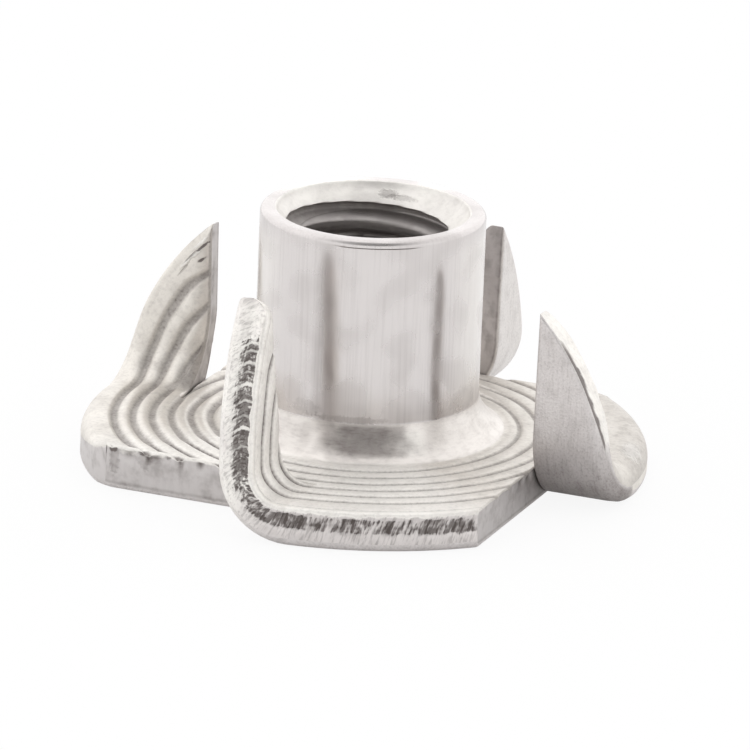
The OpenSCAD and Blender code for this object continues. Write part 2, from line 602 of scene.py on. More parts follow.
@dataclass(frozen=True)
class Tear:
    """The band along the rim where the shears tore the sheet, and its leaning strokes.

    The first value of each pair is for the flange, and the second for the folded prong.
    """

    blank_r: float = BLANK_R
    folded: Arc = Arc(-137.0, -132.0, -97.0, -86.0)
    front: Arc = Arc(-136.0, -133.0, -46.0, -44.0)
    rear: Ramp = Ramp(60.0, 80.0)
    left: Ramp = Ramp(-178.0, -179.0)
    rear_amount: float = 0.55
    chevron_at: float = 0.95
    chevron_below: float = 0.55
    chevron_above: float = 0.2
    slant: float = 0.3
    slant_at: float = 0.9
    slant_starts: Ramp = Ramp(-134.9, -133.5)
    folded_grain: float = 1.6
    flatter: float = 0.3
    streak: Noise = Noise((4.5, 1, 1), 41.0, 0.9)
    coarse: Noise = Noise((1.3, 1, 1), 5.0)
    low: Pair = (0.64, 0.6)
    low_noise: Noise = Noise((3.0, 1, 0), 17.0)
    low_ragged: Pair = (0.06, 0.18)
    low_soft: Pair = (0.04, 0.24)
    high: Pair = (1.15, 1.29)
    high_noise: Noise = Noise((3.0, 1, 0), 19.0, 0.03)
    high_inside: float = 0.03
    high_outside: float = 0.04
    depth: float = 0.075
    bite: float = 0.62
    bite_coarse: float = 0.5
    bite_least: float = 0.05
    bite_most: float = 1.3
    steady: Arc = Arc(-128.0, -124.0, -100.0, -92.0)
    steady_mean: float = 1.28
    steady_swing: float = 0.45
    gaps_mean: float = 0.94
    gaps_swing: float = 0.4
    gaps_end: Ramp = Ramp(-122.0, -127.0)
    most: float = 1.5

    def skew(self, degrees: Array, height: Array) -> Array:
        """How far the tear's strokes lean along the rim.

        Args:
            degrees: direction of each place on the rim.
            height: its height on the flat blank.

        Returns:
            The lean in mm: a chevron on the front-left prong, and a slant elsewhere.
        """
        folded = self.folded.share(degrees)
        over = height - self.chevron_at
        chevron = np.maximum(-self.chevron_below * over, self.chevron_above * over)
        plain = self.slant_starts.share(degrees) * self.slant * (height - self.slant_at)
        return folded * chevron + (1 - folded) * plain

    def grain(self, flat: Array) -> Array:
        """Places that the rim's grain follows, so that its strokes lean as the tear does.

        Args:
            flat: n x 3 places on the rim of the flat blank.

        Returns:
            n x 3 places.
        """
        degrees = bearing(flat)
        back = -self.skew(degrees, flat[:, 2]) / self.blank_r
        c, s = np.cos(back), np.sin(back)
        x, y, z = flat.T
        across = z * (1 + self.folded_grain * self.folded.share(degrees))
        return np.column_stack([c * x - s * y, s * x + c * y, across])

    def band(self, flat: Array) -> tuple[Array, Array]:
        """The torn band on the rim.

        Args:
            flat: n x 3 places on the rim of the flat blank.

        Returns:
            How torn each place is, and how far it falls back, in mm.
        """
        degrees, z = bearing(flat), flat[:, 2]
        folded = self.folded.share(degrees)
        rear = self.rear.share(degrees) + self.left.share(degrees)
        amount = np.clip(self.front.share(degrees) + self.rear_amount * rear, 0, 1)
        run = np.radians(degrees) * self.blank_r - self.skew(degrees, z)
        line = np.column_stack([run, np.zeros(len(z)), z * self.flatter])
        low = between(*self.low, folded)
        low = low + between(*self.low_ragged, folded) * self.low_noise.at(line)
        soft = between(*self.low_soft, folded)
        high = between(*self.high, folded) + self.high_noise.at(line)
        above = smoothstep(low - soft, low + soft, z)
        below = smoothstep(high + self.high_outside, high - self.high_inside, z)
        band = above * below * amount
        coarse = self.coarse.at(line)
        bite = self.bite + self.streak.at(line) + self.bite_coarse * coarse
        bite = np.clip(bite, self.bite_least, self.bite_most)
        full = self.steady_mean + self.steady_swing * coarse
        gaps = self.gaps_mean + self.gaps_swing * coarse - self.gaps_end.share(degrees)
        level = between(gaps, full, self.steady.share(degrees))
        return band * np.clip(level, 0.0, self.most), band * self.depth * bite


@dataclass(frozen=True)
class GrimeAndPaintedLight:
    """Where the blank is soiled or rubbed bright, and where shade and sheen are painted on it, each from
    0 to 1.
    """

    fold_y: float
    folded: Arc
    # side walls of the cuts: dirt, with painted shade on the prongs' cut walls
    dirt: Noise = Noise((0.9, 0.9, 1.6), 31.0, 0.7, 0.9)
    dirt_most: float = 1.4
    flange_cut: float = 0.1
    prong_cut_dirt_and_shade: float = 0.22
    foot_line: float = 0.06
    foot_amount: float = 0.3
    nicks: Noise = Noise((2.6, 2.6, 0.5), 51.0)
    nick: Ramp = Ramp(0.12, 0.3)
    nick_height: Ramp = Ramp(0.68, 0.93)
    nick_amount: float = 0.75
    clean_top: Ramp = Ramp(0.7, 0.85)
    clean_amount: float = 0.8
    # the front-right prong's outer edge and face, by distance past its fold: a dark seam, painted shade
    # at the heel, and a rubbed strip
    seam_span: Span = Span(2.5, 3.0, 5.6, 6.9)
    seam_edge: Noise = Noise((3.5, 3.5, 0), 37.0, 0.22, 0.22)
    seam_inside: float = 0.06
    seam_outside: float = 0.08
    seam_amount: float = 1.2
    heel_shade_span: Span = Span(-0.4, 0.4, 0.8, 4.4)
    heel_shade_amount: float = 0.7
    strip: Ramp = Ramp(2.4, 3.2)
    # rubbed bright rims, a painted sheen on the front lands, and a paler outer face on the back-right
    # prong
    shine: Noise = Noise((2.0, 2.0, 2.0), 91.0, 0.5, 0.8)
    front: Arc = Arc(-150.0, -128.0, -52.0, -36.0)
    front_sheen_amount: float = 0.95
    front_prong_sheen: float = 0.8
    back_prong: float = 0.35
    # the upper face: the torn root, the faint rings, the worn lobe and a corner
    slump_amount: float = 0.6
    faint_amount: float = 0.28
    lobe_amount: float = 0.2
    lobe_reach: Ramp = Ramp(2.5, 0.5)
    corner: Arc = Arc(150.0, 175.0, 222.0, 232.0)
    corner_reach: Ramp = Ramp(1.4, 0.5)
    corner_cloud: Noise = Noise((1.3, 1.3, 1), 67.0, 0.8, 0.6)
    corner_amount: float = 0.22

    def walls(self, flat: Array, owner: Array, on_rim: Array, share: float) -> Array:
        """Dirt on the side walls, with painted shade on the prongs' cut walls, which face the barrel, and
        on the front-right prong's rim wall at its fold.

        Args:
            flat: n x 3 places on the side walls of the flat blank.
            owner: the part that each place lies on.
            on_rim: whether each place is on the round rim.
            share: the row's height, as a share of the thickness.

        Returns:
            How much each place is darkened.
        """
        amount = np.where(owner == Tab.FLANGE, self.flange_cut, self.prong_cut_dirt_and_shade)
        cut = amount * np.clip(self.dirt.at(flat), 0, self.dirt_most)
        cut = cut + self.foot_amount * (share < self.foot_line)
        notch = self.nick.share(self.nicks.at(flat)) * self.nick_height.share(share)
        cut = cut * (1 - self.clean_amount * self.clean_top.share(share))
        cut = cut + self.nick_amount * notch * (owner == Tab.FLANGE)
        # painted shade on the front-right prong's rim wall at its fold, darker towards the bottom
        heel = self.heel(flat, owner) * (1 - share)
        return np.where(on_rim, np.maximum(self.seam(flat, owner, share), heel), cut)

    def seam(self, flat: Array, owner: Array, share: float) -> Array:
        """The dark seam along the front-right prong's outer edge.

        Args:
            flat: n x 3 places on the flat blank.
            owner: the part that each place lies on.
            share: the row's height, as a share of the thickness.

        Returns:
            How soiled each place is.
        """
        thick = self.seam_span.share(self.fold_y - flat[:, 1])
        edge = thick * self.seam_edge.at(flat)
        level = smoothstep(edge + self.seam_outside, edge - self.seam_inside, share)
        return self.seam_amount * (owner == Tab.FRONT_RIGHT) * thick * level

    def heel(self, flat: Array, owner: Array) -> Array:
        """Painted shade on the front-right prong's outer face, down at its fold."""
        level = self.heel_shade_span.share(self.fold_y - flat[:, 1])
        return self.heel_shade_amount * (owner == Tab.FRONT_RIGHT) * level

    def top(self, flat: Array, owner: Array, to_rim: Array, worn: Array) -> Array:
        """Darker towards the worn lobe's rim, and dirt in the left lobe's corner.

        Args:
            flat: n x 3 places on the upper face of the flat blank.
            owner: the part that each place lies on.
            to_rim: distance in from the rim.
            worn: how worn each place is.

        Returns:
            How much each place is darkened.
        """
        lobe = self.lobe_amount * worn * self.lobe_reach.share(to_rim)
        corner = self.corner.share(bearing(flat)) * (owner == Tab.FLANGE)
        corner = corner * self.corner_reach.share(to_rim) * self.corner_cloud.at(flat)
        return lobe + self.corner_amount * np.maximum(corner, 0)

    def bright_rim(self, flat: Array, owner: Array) -> Array:
        """Where the rims of the two front prongs are rubbed bright.

        Args:
            flat: n x 3 places on the flat blank.
            owner: the part that each place lies on.

        Returns:
            How bright each place is.
        """
        strip = (owner == Tab.FRONT_RIGHT) * self.strip.share(self.fold_y - flat[:, 1])
        bright = np.where(owner == Tab.FRONT_LEFT, self.folded.share(bearing(flat)), strip)
        return bright * np.clip(self.shine.at(flat), 0, 1)

    def painted_front_sheen(self, place: Array, owner: Array) -> Array:
        """Painted sheen on the lands: on the front of the flange and on the front-left prong.

        Args:
            place: n x 2 places on the flat blank.
            owner: the part that each place lies on.

        Returns:
            How far each place is painted paler.
        """
        prong = self.front_prong_sheen * (owner == Tab.FRONT_LEFT)
        front = np.where(owner == Tab.FLANGE, self.front.share(bearing(place)), prong)
        return self.front_sheen_amount * front


@dataclass
class Blank:
    """The flat blank's net, with the part that each of its places lies on."""

    place: Array
    faces: list[list[int]]
    owner: Array
    edges: list[Edge]

    @property
    def flat(self) -> Array:
        """The places with a height of 0."""
        return raised(self.place)

    @property
    def degrees(self) -> Array:
        """Direction of each place from the axis."""
        return bearing(self.place)

    @property
    def radius(self) -> Array:
        """Distance of each place from the axis."""
        return from_axis(self.place)


@dataclass
class Net:
    """The net of faces of the flat blank, with rows where its edges and grooves are."""

    radius: float
    foot_r: float
    ring_rows: list[float]
    prongs: list[Prong]
    edge_steps: tuple[float, ...] = (0.006, 0.025, 0.06, 0.12, 0.2)
    snap: float = 0.004
    near_fold: float = 0.4
    near_cut: float = 0.35
    past_cut: float = 0.3

    def radii(self) -> list[float]:
        """Radii of the net's rows, close together at each groove and at the rim."""
        rim = [self.radius - step for step in (0, *self.edge_steps)]
        return sorted({round(r, 4) for r in [*self.ring_rows, *rim]})

    def build(self) -> Blank:
        """Makes the net of faces, slit where the tabs are cut free.

        Returns:
            The net. Its border's edges run the way that its faces do.
        """
        net = bmesh.new()
        rows = [
            [net.verts.new((r * math.cos(a), r * math.sin(a), 0)) for a in around()]
            for r in self.radii()
        ]
        for inner, outer in zip(rows, rows[1:]):
            for k in range(AROUND):
                n = (k + 1) % AROUND
                net.faces.new((inner[k], outer[k], outer[n], inner[n]))
        for prong in self.prongs:
            self.slit(net, prong)
        net.verts.index_update()
        at_rim = self.radius - TOUCH
        rim = [e for e in net.edges if e.is_boundary and min(v.co.length for v in e.verts) > at_rim]
        bmesh.ops.subdivide_edges(net, edges=rim, cuts=1)
        for v in net.verts:
            if v.is_boundary and v.co.length > at_rim:
                v.co *= self.radius / v.co.length
        net.verts.index_update()
        place = np.array([v.co[:2] for v in net.verts])
        faces = [[v.index for v in f.verts] for f in net.faces]
        edges = [
            (loop.vert.index, loop.link_loop_next.vert.index)
            for f in net.faces for loop in f.loops if loop.edge.is_boundary
        ]
        net.free()
        radius = from_axis(place)
        outer_edges = [e for e in edges if radius[list(e)].max() > self.foot_r + TOUCH]
        return Blank(place, faces, self.owners(place, faces), outer_edges)

    def slit(self, net: bmesh.types.BMesh, prong: Prong) -> None:
        """Splits the net along a tab's cut and fold, and takes out the cut's width.

        Args:
            net: the flat blank's net.
            prong: the tab.
        """
        x, y = prong.cut_x, prong.fold_y
        tip = prong.blunt - prong.half_cut
        across, along = (1, 0), (0, 1)
        self.split(
            net, prong, along, y,
            lambda c: (c[:, 0] > x - self.past_cut) & (abs(c[:, 1] - y) < self.near_fold))
        steps = self.edge_steps[1:4]
        lines = [-s for s in steps] + [0, prong.kerf] + [prong.kerf + s for s in steps]
        for line in lines:
            self.split(
                net, prong, across, x + line,
                lambda c, line=line: (abs(c[:, 0] - x - line) < self.near_cut) & (c[:, 1] < y))
        self.split(
            net, prong, along, tip, lambda c: (c[:, 0] > x) & (abs(c[:, 1] - tip) < self.near_fold))
        own_x, own_y = prong.spin(self.centres(net), 1).T
        gone = (own_x > x) & (((own_x < x + prong.kerf) & (own_y < y)) | (own_y < tip))
        bmesh.ops.delete(net, geom=[f for f, out in zip(net.faces, gone) if out], context="FACES")

    def centres(self, net: bmesh.types.BMesh) -> Array:
        """Centres of the net's faces."""
        return np.array([f.calc_center_median()[:2] for f in net.faces])

    def split(
        self, net: bmesh.types.BMesh, prong: Prong, normal: Pair, offset: float,
        near: Callable[[Array], Array],
    ) -> None:
        """Splits the net's faces along one straight line.

        Args:
            net: the flat blank's net.
            prong: the tab in whose own frame the line lies.
            normal: direction across the line.
            offset: the line's distance from the axis, along the normal.
            near: tells from the faces' centres which ones may be split.
        """
        chosen = near(prong.spin(self.centres(net), 1))
        faces = [f for f, take in zip(net.faces, chosen) if take]
        edges = {e for f in faces for e in f.edges}
        verts = {v for f in faces for v in f.verts}
        direction = Vector((*prong.spin(np.array(normal, float), -1), 0))
        bmesh.ops.bisect_plane(
            net, geom=[*verts, *edges, *faces], dist=self.snap, plane_co=direction * offset,
            plane_no=direction)

    def owners(self, place: Array, faces: list[list[int]]) -> Array:
        """Finds the part that each vertex lies on.

        Args:
            place: the vertices' places on the flat blank.
            faces: the net's faces.

        Returns:
            The prong that all of a vertex's faces lie on, or else the flange.
        """
        centres = np.array([place[f].mean(axis=0) for f in faces])
        of_face = np.full(len(faces), int(Tab.FLANGE))
        for prong in self.prongs:
            x, y = prong.spin(centres, 1).T
            of_face[(x > prong.cut_x + prong.kerf / 2) & (y < prong.fold_y)] = prong.tab
        unseen = Tab.FLANGE - 1
        owner = np.full(len(place), unseen)
        for face, value in zip(faces, of_face):
            for v in face:
                owner[v] = value if owner[v] in (unseen, value) else Tab.FLANGE
        return owner


@dataclass
class Sheet:
    """The round blank: flange and prongs, with rings, sheared rim and cut edges."""

    radius: float = BLANK_R
    thickness: float = BLANK_T
    foot_r: float = 4.75
    rings: Rings = field(default_factory=Rings)
    tear: Tear = field(default_factory=Tear)
    # edges: rolled where the shears went in, rounded where they came out
    rim_roll: float = 0.3
    rim_round: float = 0.13
    cut_roll: float = 0.16
    cut_round: float = 0.06
    ragged: Noise = Noise((2.5, 2.5, 1), 7.0, 0.5, 1.0)
    tight: Arc = Arc(-178.0, -170.0, -136.0, -130.0)
    tight_share: float = 0.55
    beside_cut_by: float = 0.1
    before_fold: float = 0.3
    beside_reach: float = 0.4
    # faces: their waves, their worn lobes, and where the rings are broad or faint
    wave: Noise = Noise((0.7, 0.7, 1), 23.0, 0.012)
    wave_starts: Ramp = Ramp(0.0, 0.4)
    least_thickness: float = 0.12
    lobes: tuple[WornLobe, ...] = (
        WornLobe(Arc(-24, -6, 47, 50), 0.8, bare=True),
        WornLobe(Arc(-212, -190, -160, -128), 0.62),
    )
    lobe_inside: Ramp = Ramp(7.3, 8.2)
    broad_lobe: Arc = Arc(120.0, 130.0, 222.0, 229.0)
    broad_front: float = 0.2
    faint_lobe: Arc = Arc(-62.0, -35.0, 80.0, 100.0)
    faintness: float = 0.45
    # how the press drew the rings along the face
    drift_noise: Noise = Noise((0.4, 0.4, 1), 3.0, 0.05)
    drift_rim: Ramp = Ramp(0.25, 0.9)
    drift_cut: Ramp = Ramp(0.0, 0.6)
    drift_foot: float = 0.3
    drawn_out: float = 0.13
    drawn_from: float = 7.2
    drawn_starts: Ramp = Ramp(0.5, 2.5)
    # the left lobe's rounded corner, and the burr along its cut
    soft_corner: float = -135.0
    corner_reach: float = 0.62
    corner_pull: float = 0.2
    burr_height: float = 0.15
    burr_lobe: Arc = Arc(-146.0, -134.0, -112.0, -95.0)
    burr_noise: Noise = Noise((1.9, 1.9, 1), 19.0, 0.4, 0.9)
    burr_reach: Ramp = Ramp(0.42, 0.08)
    # side walls: where their finish changes, and how they were dragged and chipped
    bare_rim: Pair = (-180.5, -134.6)
    worn_end: float = 50.0
    merge_at: float = 3.0
    drag: Noise = Noise((9, 9, 0.8), 2.0, 0.008)
    chip: Ramp = Ramp(0.05, 0.3)
    chip_height: Ramp = Ramp(0.6, 0.95)
    chip_depth: float = 0.09
    wall_inset: float = 0.006
    wall_round: float = 0.3
    wall_rows: tuple[float, ...] = (
        0.05, 0.12, 0.24, 0.34, 0.41, 0.47, 0.53, 0.59, 0.65, 0.71, 0.77, 0.83, 0.89, 0.95)
    inside_cut: float = 1.0
    outside_cut: float = 0.01
    far: float = 9.0
    top_edge: float = 0.1
    turn_slack: float = 1e-4

    def __post_init__(self) -> None:
        """Makes the prongs, each with its own place and lean from the press."""
        r = self.radius
        self.prongs = [
            Prong(Tab.FRONT_RIGHT, r, lean=-2, outer_roll=0.07, heel_roll=0.5, roll_from=3.1, blunt=0.02),
            Prong(
                Tab.FRONT_LEFT, r, fold_shift=0.65, lean=6, outer_roll=0.24, thickness=1.28,
                inner_r=1.05, neutral=0.75, tip_round=1.12, tip_reach=0.75, blunt=0.02),
            Prong(
                Tab.BACK_LEFT, r, cut_shift=-0.2, fold_shift=-0.1, lean=5, bow=0.17, slump=0.85,
                edge_round=0.55),
            Prong(Tab.BACK_RIGHT, r, lean=1),
        ]
        self.grime_and_light = GrimeAndPaintedLight(self.prongs[Tab.FRONT_RIGHT].fold_y, self.tear.folded)

    def edge_distances(self, blank: Blank) -> tuple[Array, Array]:
        """Distances in from the blank's edges.

        Args:
            blank: the flat blank's net.

        Returns:
            Each place's distance from the rim, and from the nearest straight cut.
        """
        to_cut = np.full(len(blank.place), self.far)
        for prong in self.prongs:
            x, y = prong.spin(blank.place, 1).T
            past = np.maximum(y - prong.fold_y, 0)
            to_line = x - prong.cut_x
            inner = np.hypot(np.minimum(to_line, 0), past)
            beside = (to_line < self.outside_cut) & (to_line > -self.inside_cut)
            beside = beside & (blank.owner == Tab.FLANGE)
            to_cut = np.where(beside, np.minimum(to_cut, inner), to_cut)
            tab = np.abs(to_line - prong.kerf)
            to_cut = np.where(blank.owner == prong.tab, np.minimum(to_cut, tab), to_cut)
        return self.radius - blank.radius, to_cut

    def broad(self, blank: Blank) -> Array:
        """How far the rings are drawn out: fully on the rear prongs and on the left lobe.

        Args:
            blank: the flat blank's net.

        Returns:
            How far at each place, from 0 to 1.
        """
        lobe = self.broad_lobe.share(blank.degrees)
        prong = np.where(blank.owner >= Tab.BACK_LEFT, 1.0, self.broad_front)
        return np.where(blank.owner == Tab.FLANGE, lobe, prong)

    def faint(self, blank: Blank) -> Array:
        """How far the rings are rubbed down: on the right of the flange."""
        return self.faintness * self.faint_lobe.share(blank.degrees) * (blank.owner == Tab.FLANGE)

    def worn(self, place: Array) -> tuple[Array, Array]:
        """Wear of the lobes' upper edges.

        Args:
            place: places on the flat blank.

        Returns:
            How worn each place is, from 0 to 1, and the radius that its edge is worn to.
        """
        degrees = bearing(place)
        outer = self.lobe_inside.share(from_axis(place))
        most, radius = np.zeros(len(place)), np.zeros(len(place))
        for lobe in self.lobes:
            share = lobe.arc.share(degrees)
            most = np.maximum(most, share * outer * lobe.bare)
            radius = np.maximum(radius, share * lobe.radius)
        return most, radius

    def heights(self, blank: Blank) -> tuple[Array, Array, Array, Array]:
        """Heights of the two faces over the flat blank.

        Args:
            blank: the flat blank's net.

        Returns:
            Height of the upper face, height of the lower face, and how deep in a groove
            and how far into a drooping edge each place lies, from 0 to 1.
        """
        to_rim, to_cut = self.edge_distances(blank)
        worn, worn_r = self.worn(blank.place)
        relief, inside = self.rings.relief(blank.place, self.radius, self.broad(blank))
        kept = 1 - self.faint(blank)
        ragged = self.ragged.at(blank.flat)
        drop = np.maximum(
            round_drop(to_rim, np.maximum(self.rim_round * ragged, worn_r)),
            round_drop(to_cut, self.cut_round * ragged))
        outer_roll = self.rim_roll * (1 - self.tight_share * self.tight.share(blank.degrees))
        slumped = np.zeros(len(blank.place))
        for prong in self.prongs:
            mine = blank.owner == prong.tab
            own_drop, droop = prong.edge_drop(blank.place, to_cut, self.cut_roll)
            drop = np.where(mine, np.maximum(drop, own_drop), drop)
            slumped = np.where(mine, droop, slumped)
            along = prong.past_fold(blank.place)
            past_cut = prong.spin(blank.place, 1)[:, 0] > prong.cut_x - self.beside_cut_by
            at_fold = np.abs(along + self.before_fold) < self.beside_reach
            next_to = (blank.owner == Tab.FLANGE) & past_cut & at_fold
            outer_roll = np.where(mine | next_to, prong.under_roll(along, self.rim_roll), outer_roll)
        inner = self.wave_starts.share(np.minimum(to_rim, to_cut))
        wave = self.wave.at(blank.flat) * inner - self.wave.swing
        bare = 1 - np.maximum(worn, slumped)
        upper = self.thickness - relief * kept * bare - drop + wave + self.burr(blank, to_cut)
        lower = np.maximum(
            round_drop(to_rim, outer_roll),
            round_drop(to_cut, np.where(blank.owner == Tab.FLANGE, self.cut_roll, self.cut_round)))
        thin = np.minimum(0.0, upper - lower - self.least_thickness) / 2
        return upper - thin, lower + thin, inside * kept * bare, slumped

    def burr(self, blank: Blank, to_cut: Array) -> Array:
        """The burr that the shears raised along the left lobe's cut.

        Args:
            blank: the flat blank's net.
            to_cut: distance in from the cut.

        Returns:
            The burr's height at each place, in mm.
        """
        lobe = (blank.owner == Tab.FLANGE) * self.burr_lobe.share(blank.degrees)
        ragged = self.burr_noise.at(blank.flat)
        return self.burr_height * lobe * ragged * self.burr_reach.share(to_cut)

    def drift(self, blank: Blank) -> Array:
        """Moves places along the upper face a little, as the press leaves its rings.

        Args:
            blank: the flat blank's net.

        Returns:
            The moved places.
        """
        to_rim, to_cut = self.edge_distances(blank)
        radius = blank.radius
        away = self.drift_rim.share(to_rim) * self.drift_cut.share(to_cut)
        away = away * smoothstep(self.foot_r, self.foot_r + self.drift_foot, radius)
        step = self.drift_noise.at(blank.flat)
        for prong in self.prongs:
            level = self.drawn_starts.share(prong.past_fold(blank.place))
            drawn = self.drawn_out * (radius - self.drawn_from) * level
            step = np.where(blank.owner == prong.tab, step + np.maximum(drawn, 0), step)
        step = step + self.rings.widen(blank.place, self.radius, self.broad(blank))
        return blank.place * (1 + step * away / radius)[:, None]

    def soften(self, flat: Array) -> Array:
        """Pulls in the lobe's corner that is rounded in plan.

        Args:
            flat: n x 3 places on the flat blank.

        Returns:
            The moved places.
        """
        turn = math.radians(self.soft_corner)
        outward = np.array([math.cos(turn), math.sin(turn)])
        reach = np.linalg.norm(flat[:, :2] - self.radius * outward, axis=1)
        pull = self.corner_pull * np.clip(1 - reach / self.corner_reach, 0, 1) ** 2
        moved = flat.copy()
        moved[:, :2] -= pull[:, None] * outward
        return moved

    def shape(self, flat: Array, owner: Array) -> Array:
        """Folds places of the flat blank into the finished flange and prongs.

        Args:
            flat: n x 3 places on the flat blank.
            owner: the part that each place lies on.

        Returns:
            n x 3 places on the nut.
        """
        shaped = np.where((owner == Tab.FLANGE)[:, None], self.soften(flat), flat)
        for prong in self.prongs:
            mine = owner == prong.tab
            shaped[mine] = prong.fold(flat[mine])
        return shaped

    def outward(self, place: Array, edges: list[Edge]) -> Array:
        """Directions out of the blank at its border.

        Args:
            place: places on the flat blank.
            edges: the border's edges.

        Returns:
            n x 2 directions, which are 0 away from the border.
        """
        normal = np.zeros_like(place)
        for a, b in edges:
            step = place[b] - place[a]
            side = np.array([step[1], -step[0]]) / max(np.linalg.norm(step), TINY)
            normal[a] += side
            normal[b] += side
        return normal / np.maximum(np.linalg.norm(normal, axis=1, keepdims=True), TINY)

    def wall_places(self, flat: Array) -> Array:
        """Places that the grain of the side walls follows."""
        on_rim = from_axis(flat) > self.radius - ON_RIM
        return np.where(on_rim[:, None], self.tear.grain(flat), flat)

    def wall_zones(self, place: Array, owner: Array, on_rim: Array) -> list[Zone]:
        """Finish of the side wall at each place of the blank's border.

        Args:
            place: places on the border.
            owner: the part that each place lies on.
            on_rim: whether each place is on the round rim.

        Returns:
            The finish of each place.
        """
        # from -270 to 90 degrees, so that the left lobe is one range
        degrees = (bearing(place) - 90) % 360 - 270
        past = self.prongs[Tab.FRONT_RIGHT].past_fold(place)
        zones = []
        for angle, mine, along, rim in zip(degrees, owner, past, on_rim):
            if not rim or self.bare_rim[0] < angle < self.bare_rim[1]:
                zones.append(Zone.CUT)
            elif mine == Tab.FRONT_RIGHT and along < self.merge_at:
                zones.append(Zone.UNDERSIDE)
            elif mine == Tab.FRONT_RIGHT or (mine == Tab.FLANGE and 0 < angle < self.worn_end):
                zones.append(Zone.FACE)
            else:
                zones.append(Zone.RIM)
        return zones

    def top(self, parts: MeshParts, blank: Blank, upper: Array, masks: Sequence[Array]) -> Array:
        """Adds the upper face.

        Args:
            parts: the mesh so far.
            blank: the flat blank's net.
            upper: the face's height at each place.
            masks: how deep in a groove, and in a drooping edge, each place lies.

        Returns:
            The face's vertices.
        """
        place, owner, grime_and_light = blank.place, blank.owner, self.grime_and_light
        inside, slumped = masks
        flat = raised(self.drift(blank), upper)
        to_rim = self.radius - blank.radius
        stain = grime_and_light.slump_amount * slumped + grime_and_light.faint_amount * self.faint(blank)
        stain = stain + grime_and_light.top(flat, owner, to_rim, self.worn(place)[0])
        # pale: the painted sheen on the front lands, and the rubbed rims
        rim = grime_and_light.bright_rim(flat, owner) * (to_rim < self.top_edge)
        numbers = parts.add_points(
            self.shape(flat, owner), flat, self.wall_places(flat), groove=inside, stain=stain,
            pale=np.maximum(grime_and_light.painted_front_sheen(place, owner), rim))
        parts.add_faces([[numbers[v] for v in f] for f in blank.faces], Zone.FACE)
        return numbers

    def bottom(self, parts: MeshParts, blank: Blank, lower: Array) -> Array:
        """Adds the lower face.

        Args:
            parts: the mesh so far.
            blank: the flat blank's net.
            lower: the face's height at each place.

        Returns:
            The face's vertices.
        """
        place, owner, grime_and_light = blank.place, blank.owner, self.grime_and_light
        flat = raised(place, lower)
        streaked = flat.copy()
        for prong in self.prongs:
            mine = owner == prong.tab
            streaked[mine] = prong.spin(flat[mine], 1)
        seam = grime_and_light.seam(flat, owner, 0.0) * (blank.radius > self.radius - TOUCH)
        rim = grime_and_light.bright_rim(flat, owner) * (owner == Tab.FRONT_LEFT)
        # the front-right prong's heel gets painted shade, and its outer edge the dark seam
        numbers = parts.add_points(
            self.shape(flat, owner), streaked, self.wall_places(flat),
            stain=np.maximum(grime_and_light.heel(flat, owner), seam),
            pale=np.maximum(rim, grime_and_light.back_prong * (owner == Tab.BACK_RIGHT)))
        parts.add_faces([[numbers[v] for v in reversed(f)] for f in blank.faces], Zone.UNDERSIDE)
        return numbers

    def walls(self, parts: MeshParts, blank: Blank, low: Sequence[Array], high: Sequence[Array]) -> None:
        """Adds the side walls between the two faces.

        Args:
            parts: the mesh so far.
            blank: the flat blank's net.
            low: height of the lower face at each place, and its vertices.
            high: the same for the upper face.
        """
        border = sorted({v for e in blank.edges for v in e})
        column = {v: c for c, v in enumerate(border)}
        spot, owner = blank.place[border], blank.owner[border]
        out = self.outward(blank.place, blank.edges)[border]
        on_rim = from_axis(spot) > self.radius - ON_RIM
        sound = on_rim * (1 - self.worn(spot)[0])
        rows = [low[1][border]]
        for share in self.wall_rows:
            flat = raised(spot, between(low[0][border], high[0][border], share))
            torn, bite = self.tear.band(flat)
            # the edge is chipped where the dark nicks are
            chipped = self.chip.share(self.grime_and_light.nicks.at(flat)) * self.chip_height.share(share)
            drag = (self.drag.at(flat) + self.chip_depth * chipped * (owner == Tab.FLANGE)) * ~on_rim
            level = math.sin(math.pi * share) ** self.wall_round
            back = np.maximum(bite * sound + self.wall_inset + drag, 0) * level
            moved = flat.copy()
            moved[:, :2] -= out * back[:, None]
            rows.append(parts.add_points(
                self.shape(moved, owner), self.wall_places(flat), torn=torn * sound,
                stain=self.grime_and_light.walls(flat, owner, on_rim, share),
                pale=self.grime_and_light.bright_rim(flat, owner) * on_rim))
        rows.append(high[1][border])
        zones = self.wall_zones(spot, owner, on_rim)
        pairs = [(column[a], column[b]) for a, b in blank.edges]
        for zone in WALL_ORDER:
            chosen = [p for p in pairs if min((zones[c] for c in p), key=WALL_ORDER.index) == zone]
            for under, over in zip(rows, rows[1:]):
                parts.add_faces([(under[a], under[b], over[b], over[a]) for a, b in chosen], zone)

    def build(self, parts: MeshParts) -> tuple[Array, Array]:
        """Adds the flange and prongs.

        Args:
            parts: the mesh so far.

        Returns:
            The vertices of the inner ring on the upper and on the lower face, by angle.
        """
        ring_rows = self.rings.rows(self.radius, self.foot_r)
        blank = Net(self.radius, self.foot_r, ring_rows, self.prongs).build()
        upper, lower, *masks = self.heights(blank)
        top = self.top(parts, blank, upper, masks)
        bottom = self.bottom(parts, blank, lower)
        self.walls(parts, blank, (lower, bottom), (upper, top))
        ring = np.where(blank.radius < self.foot_r + TOUCH)[0]
        x, y = blank.place[ring].T
        ring = ring[np.argsort(np.arctan2(y, x) % (2 * math.pi - self.turn_slack))]
        return top[ring], bottom[ring]


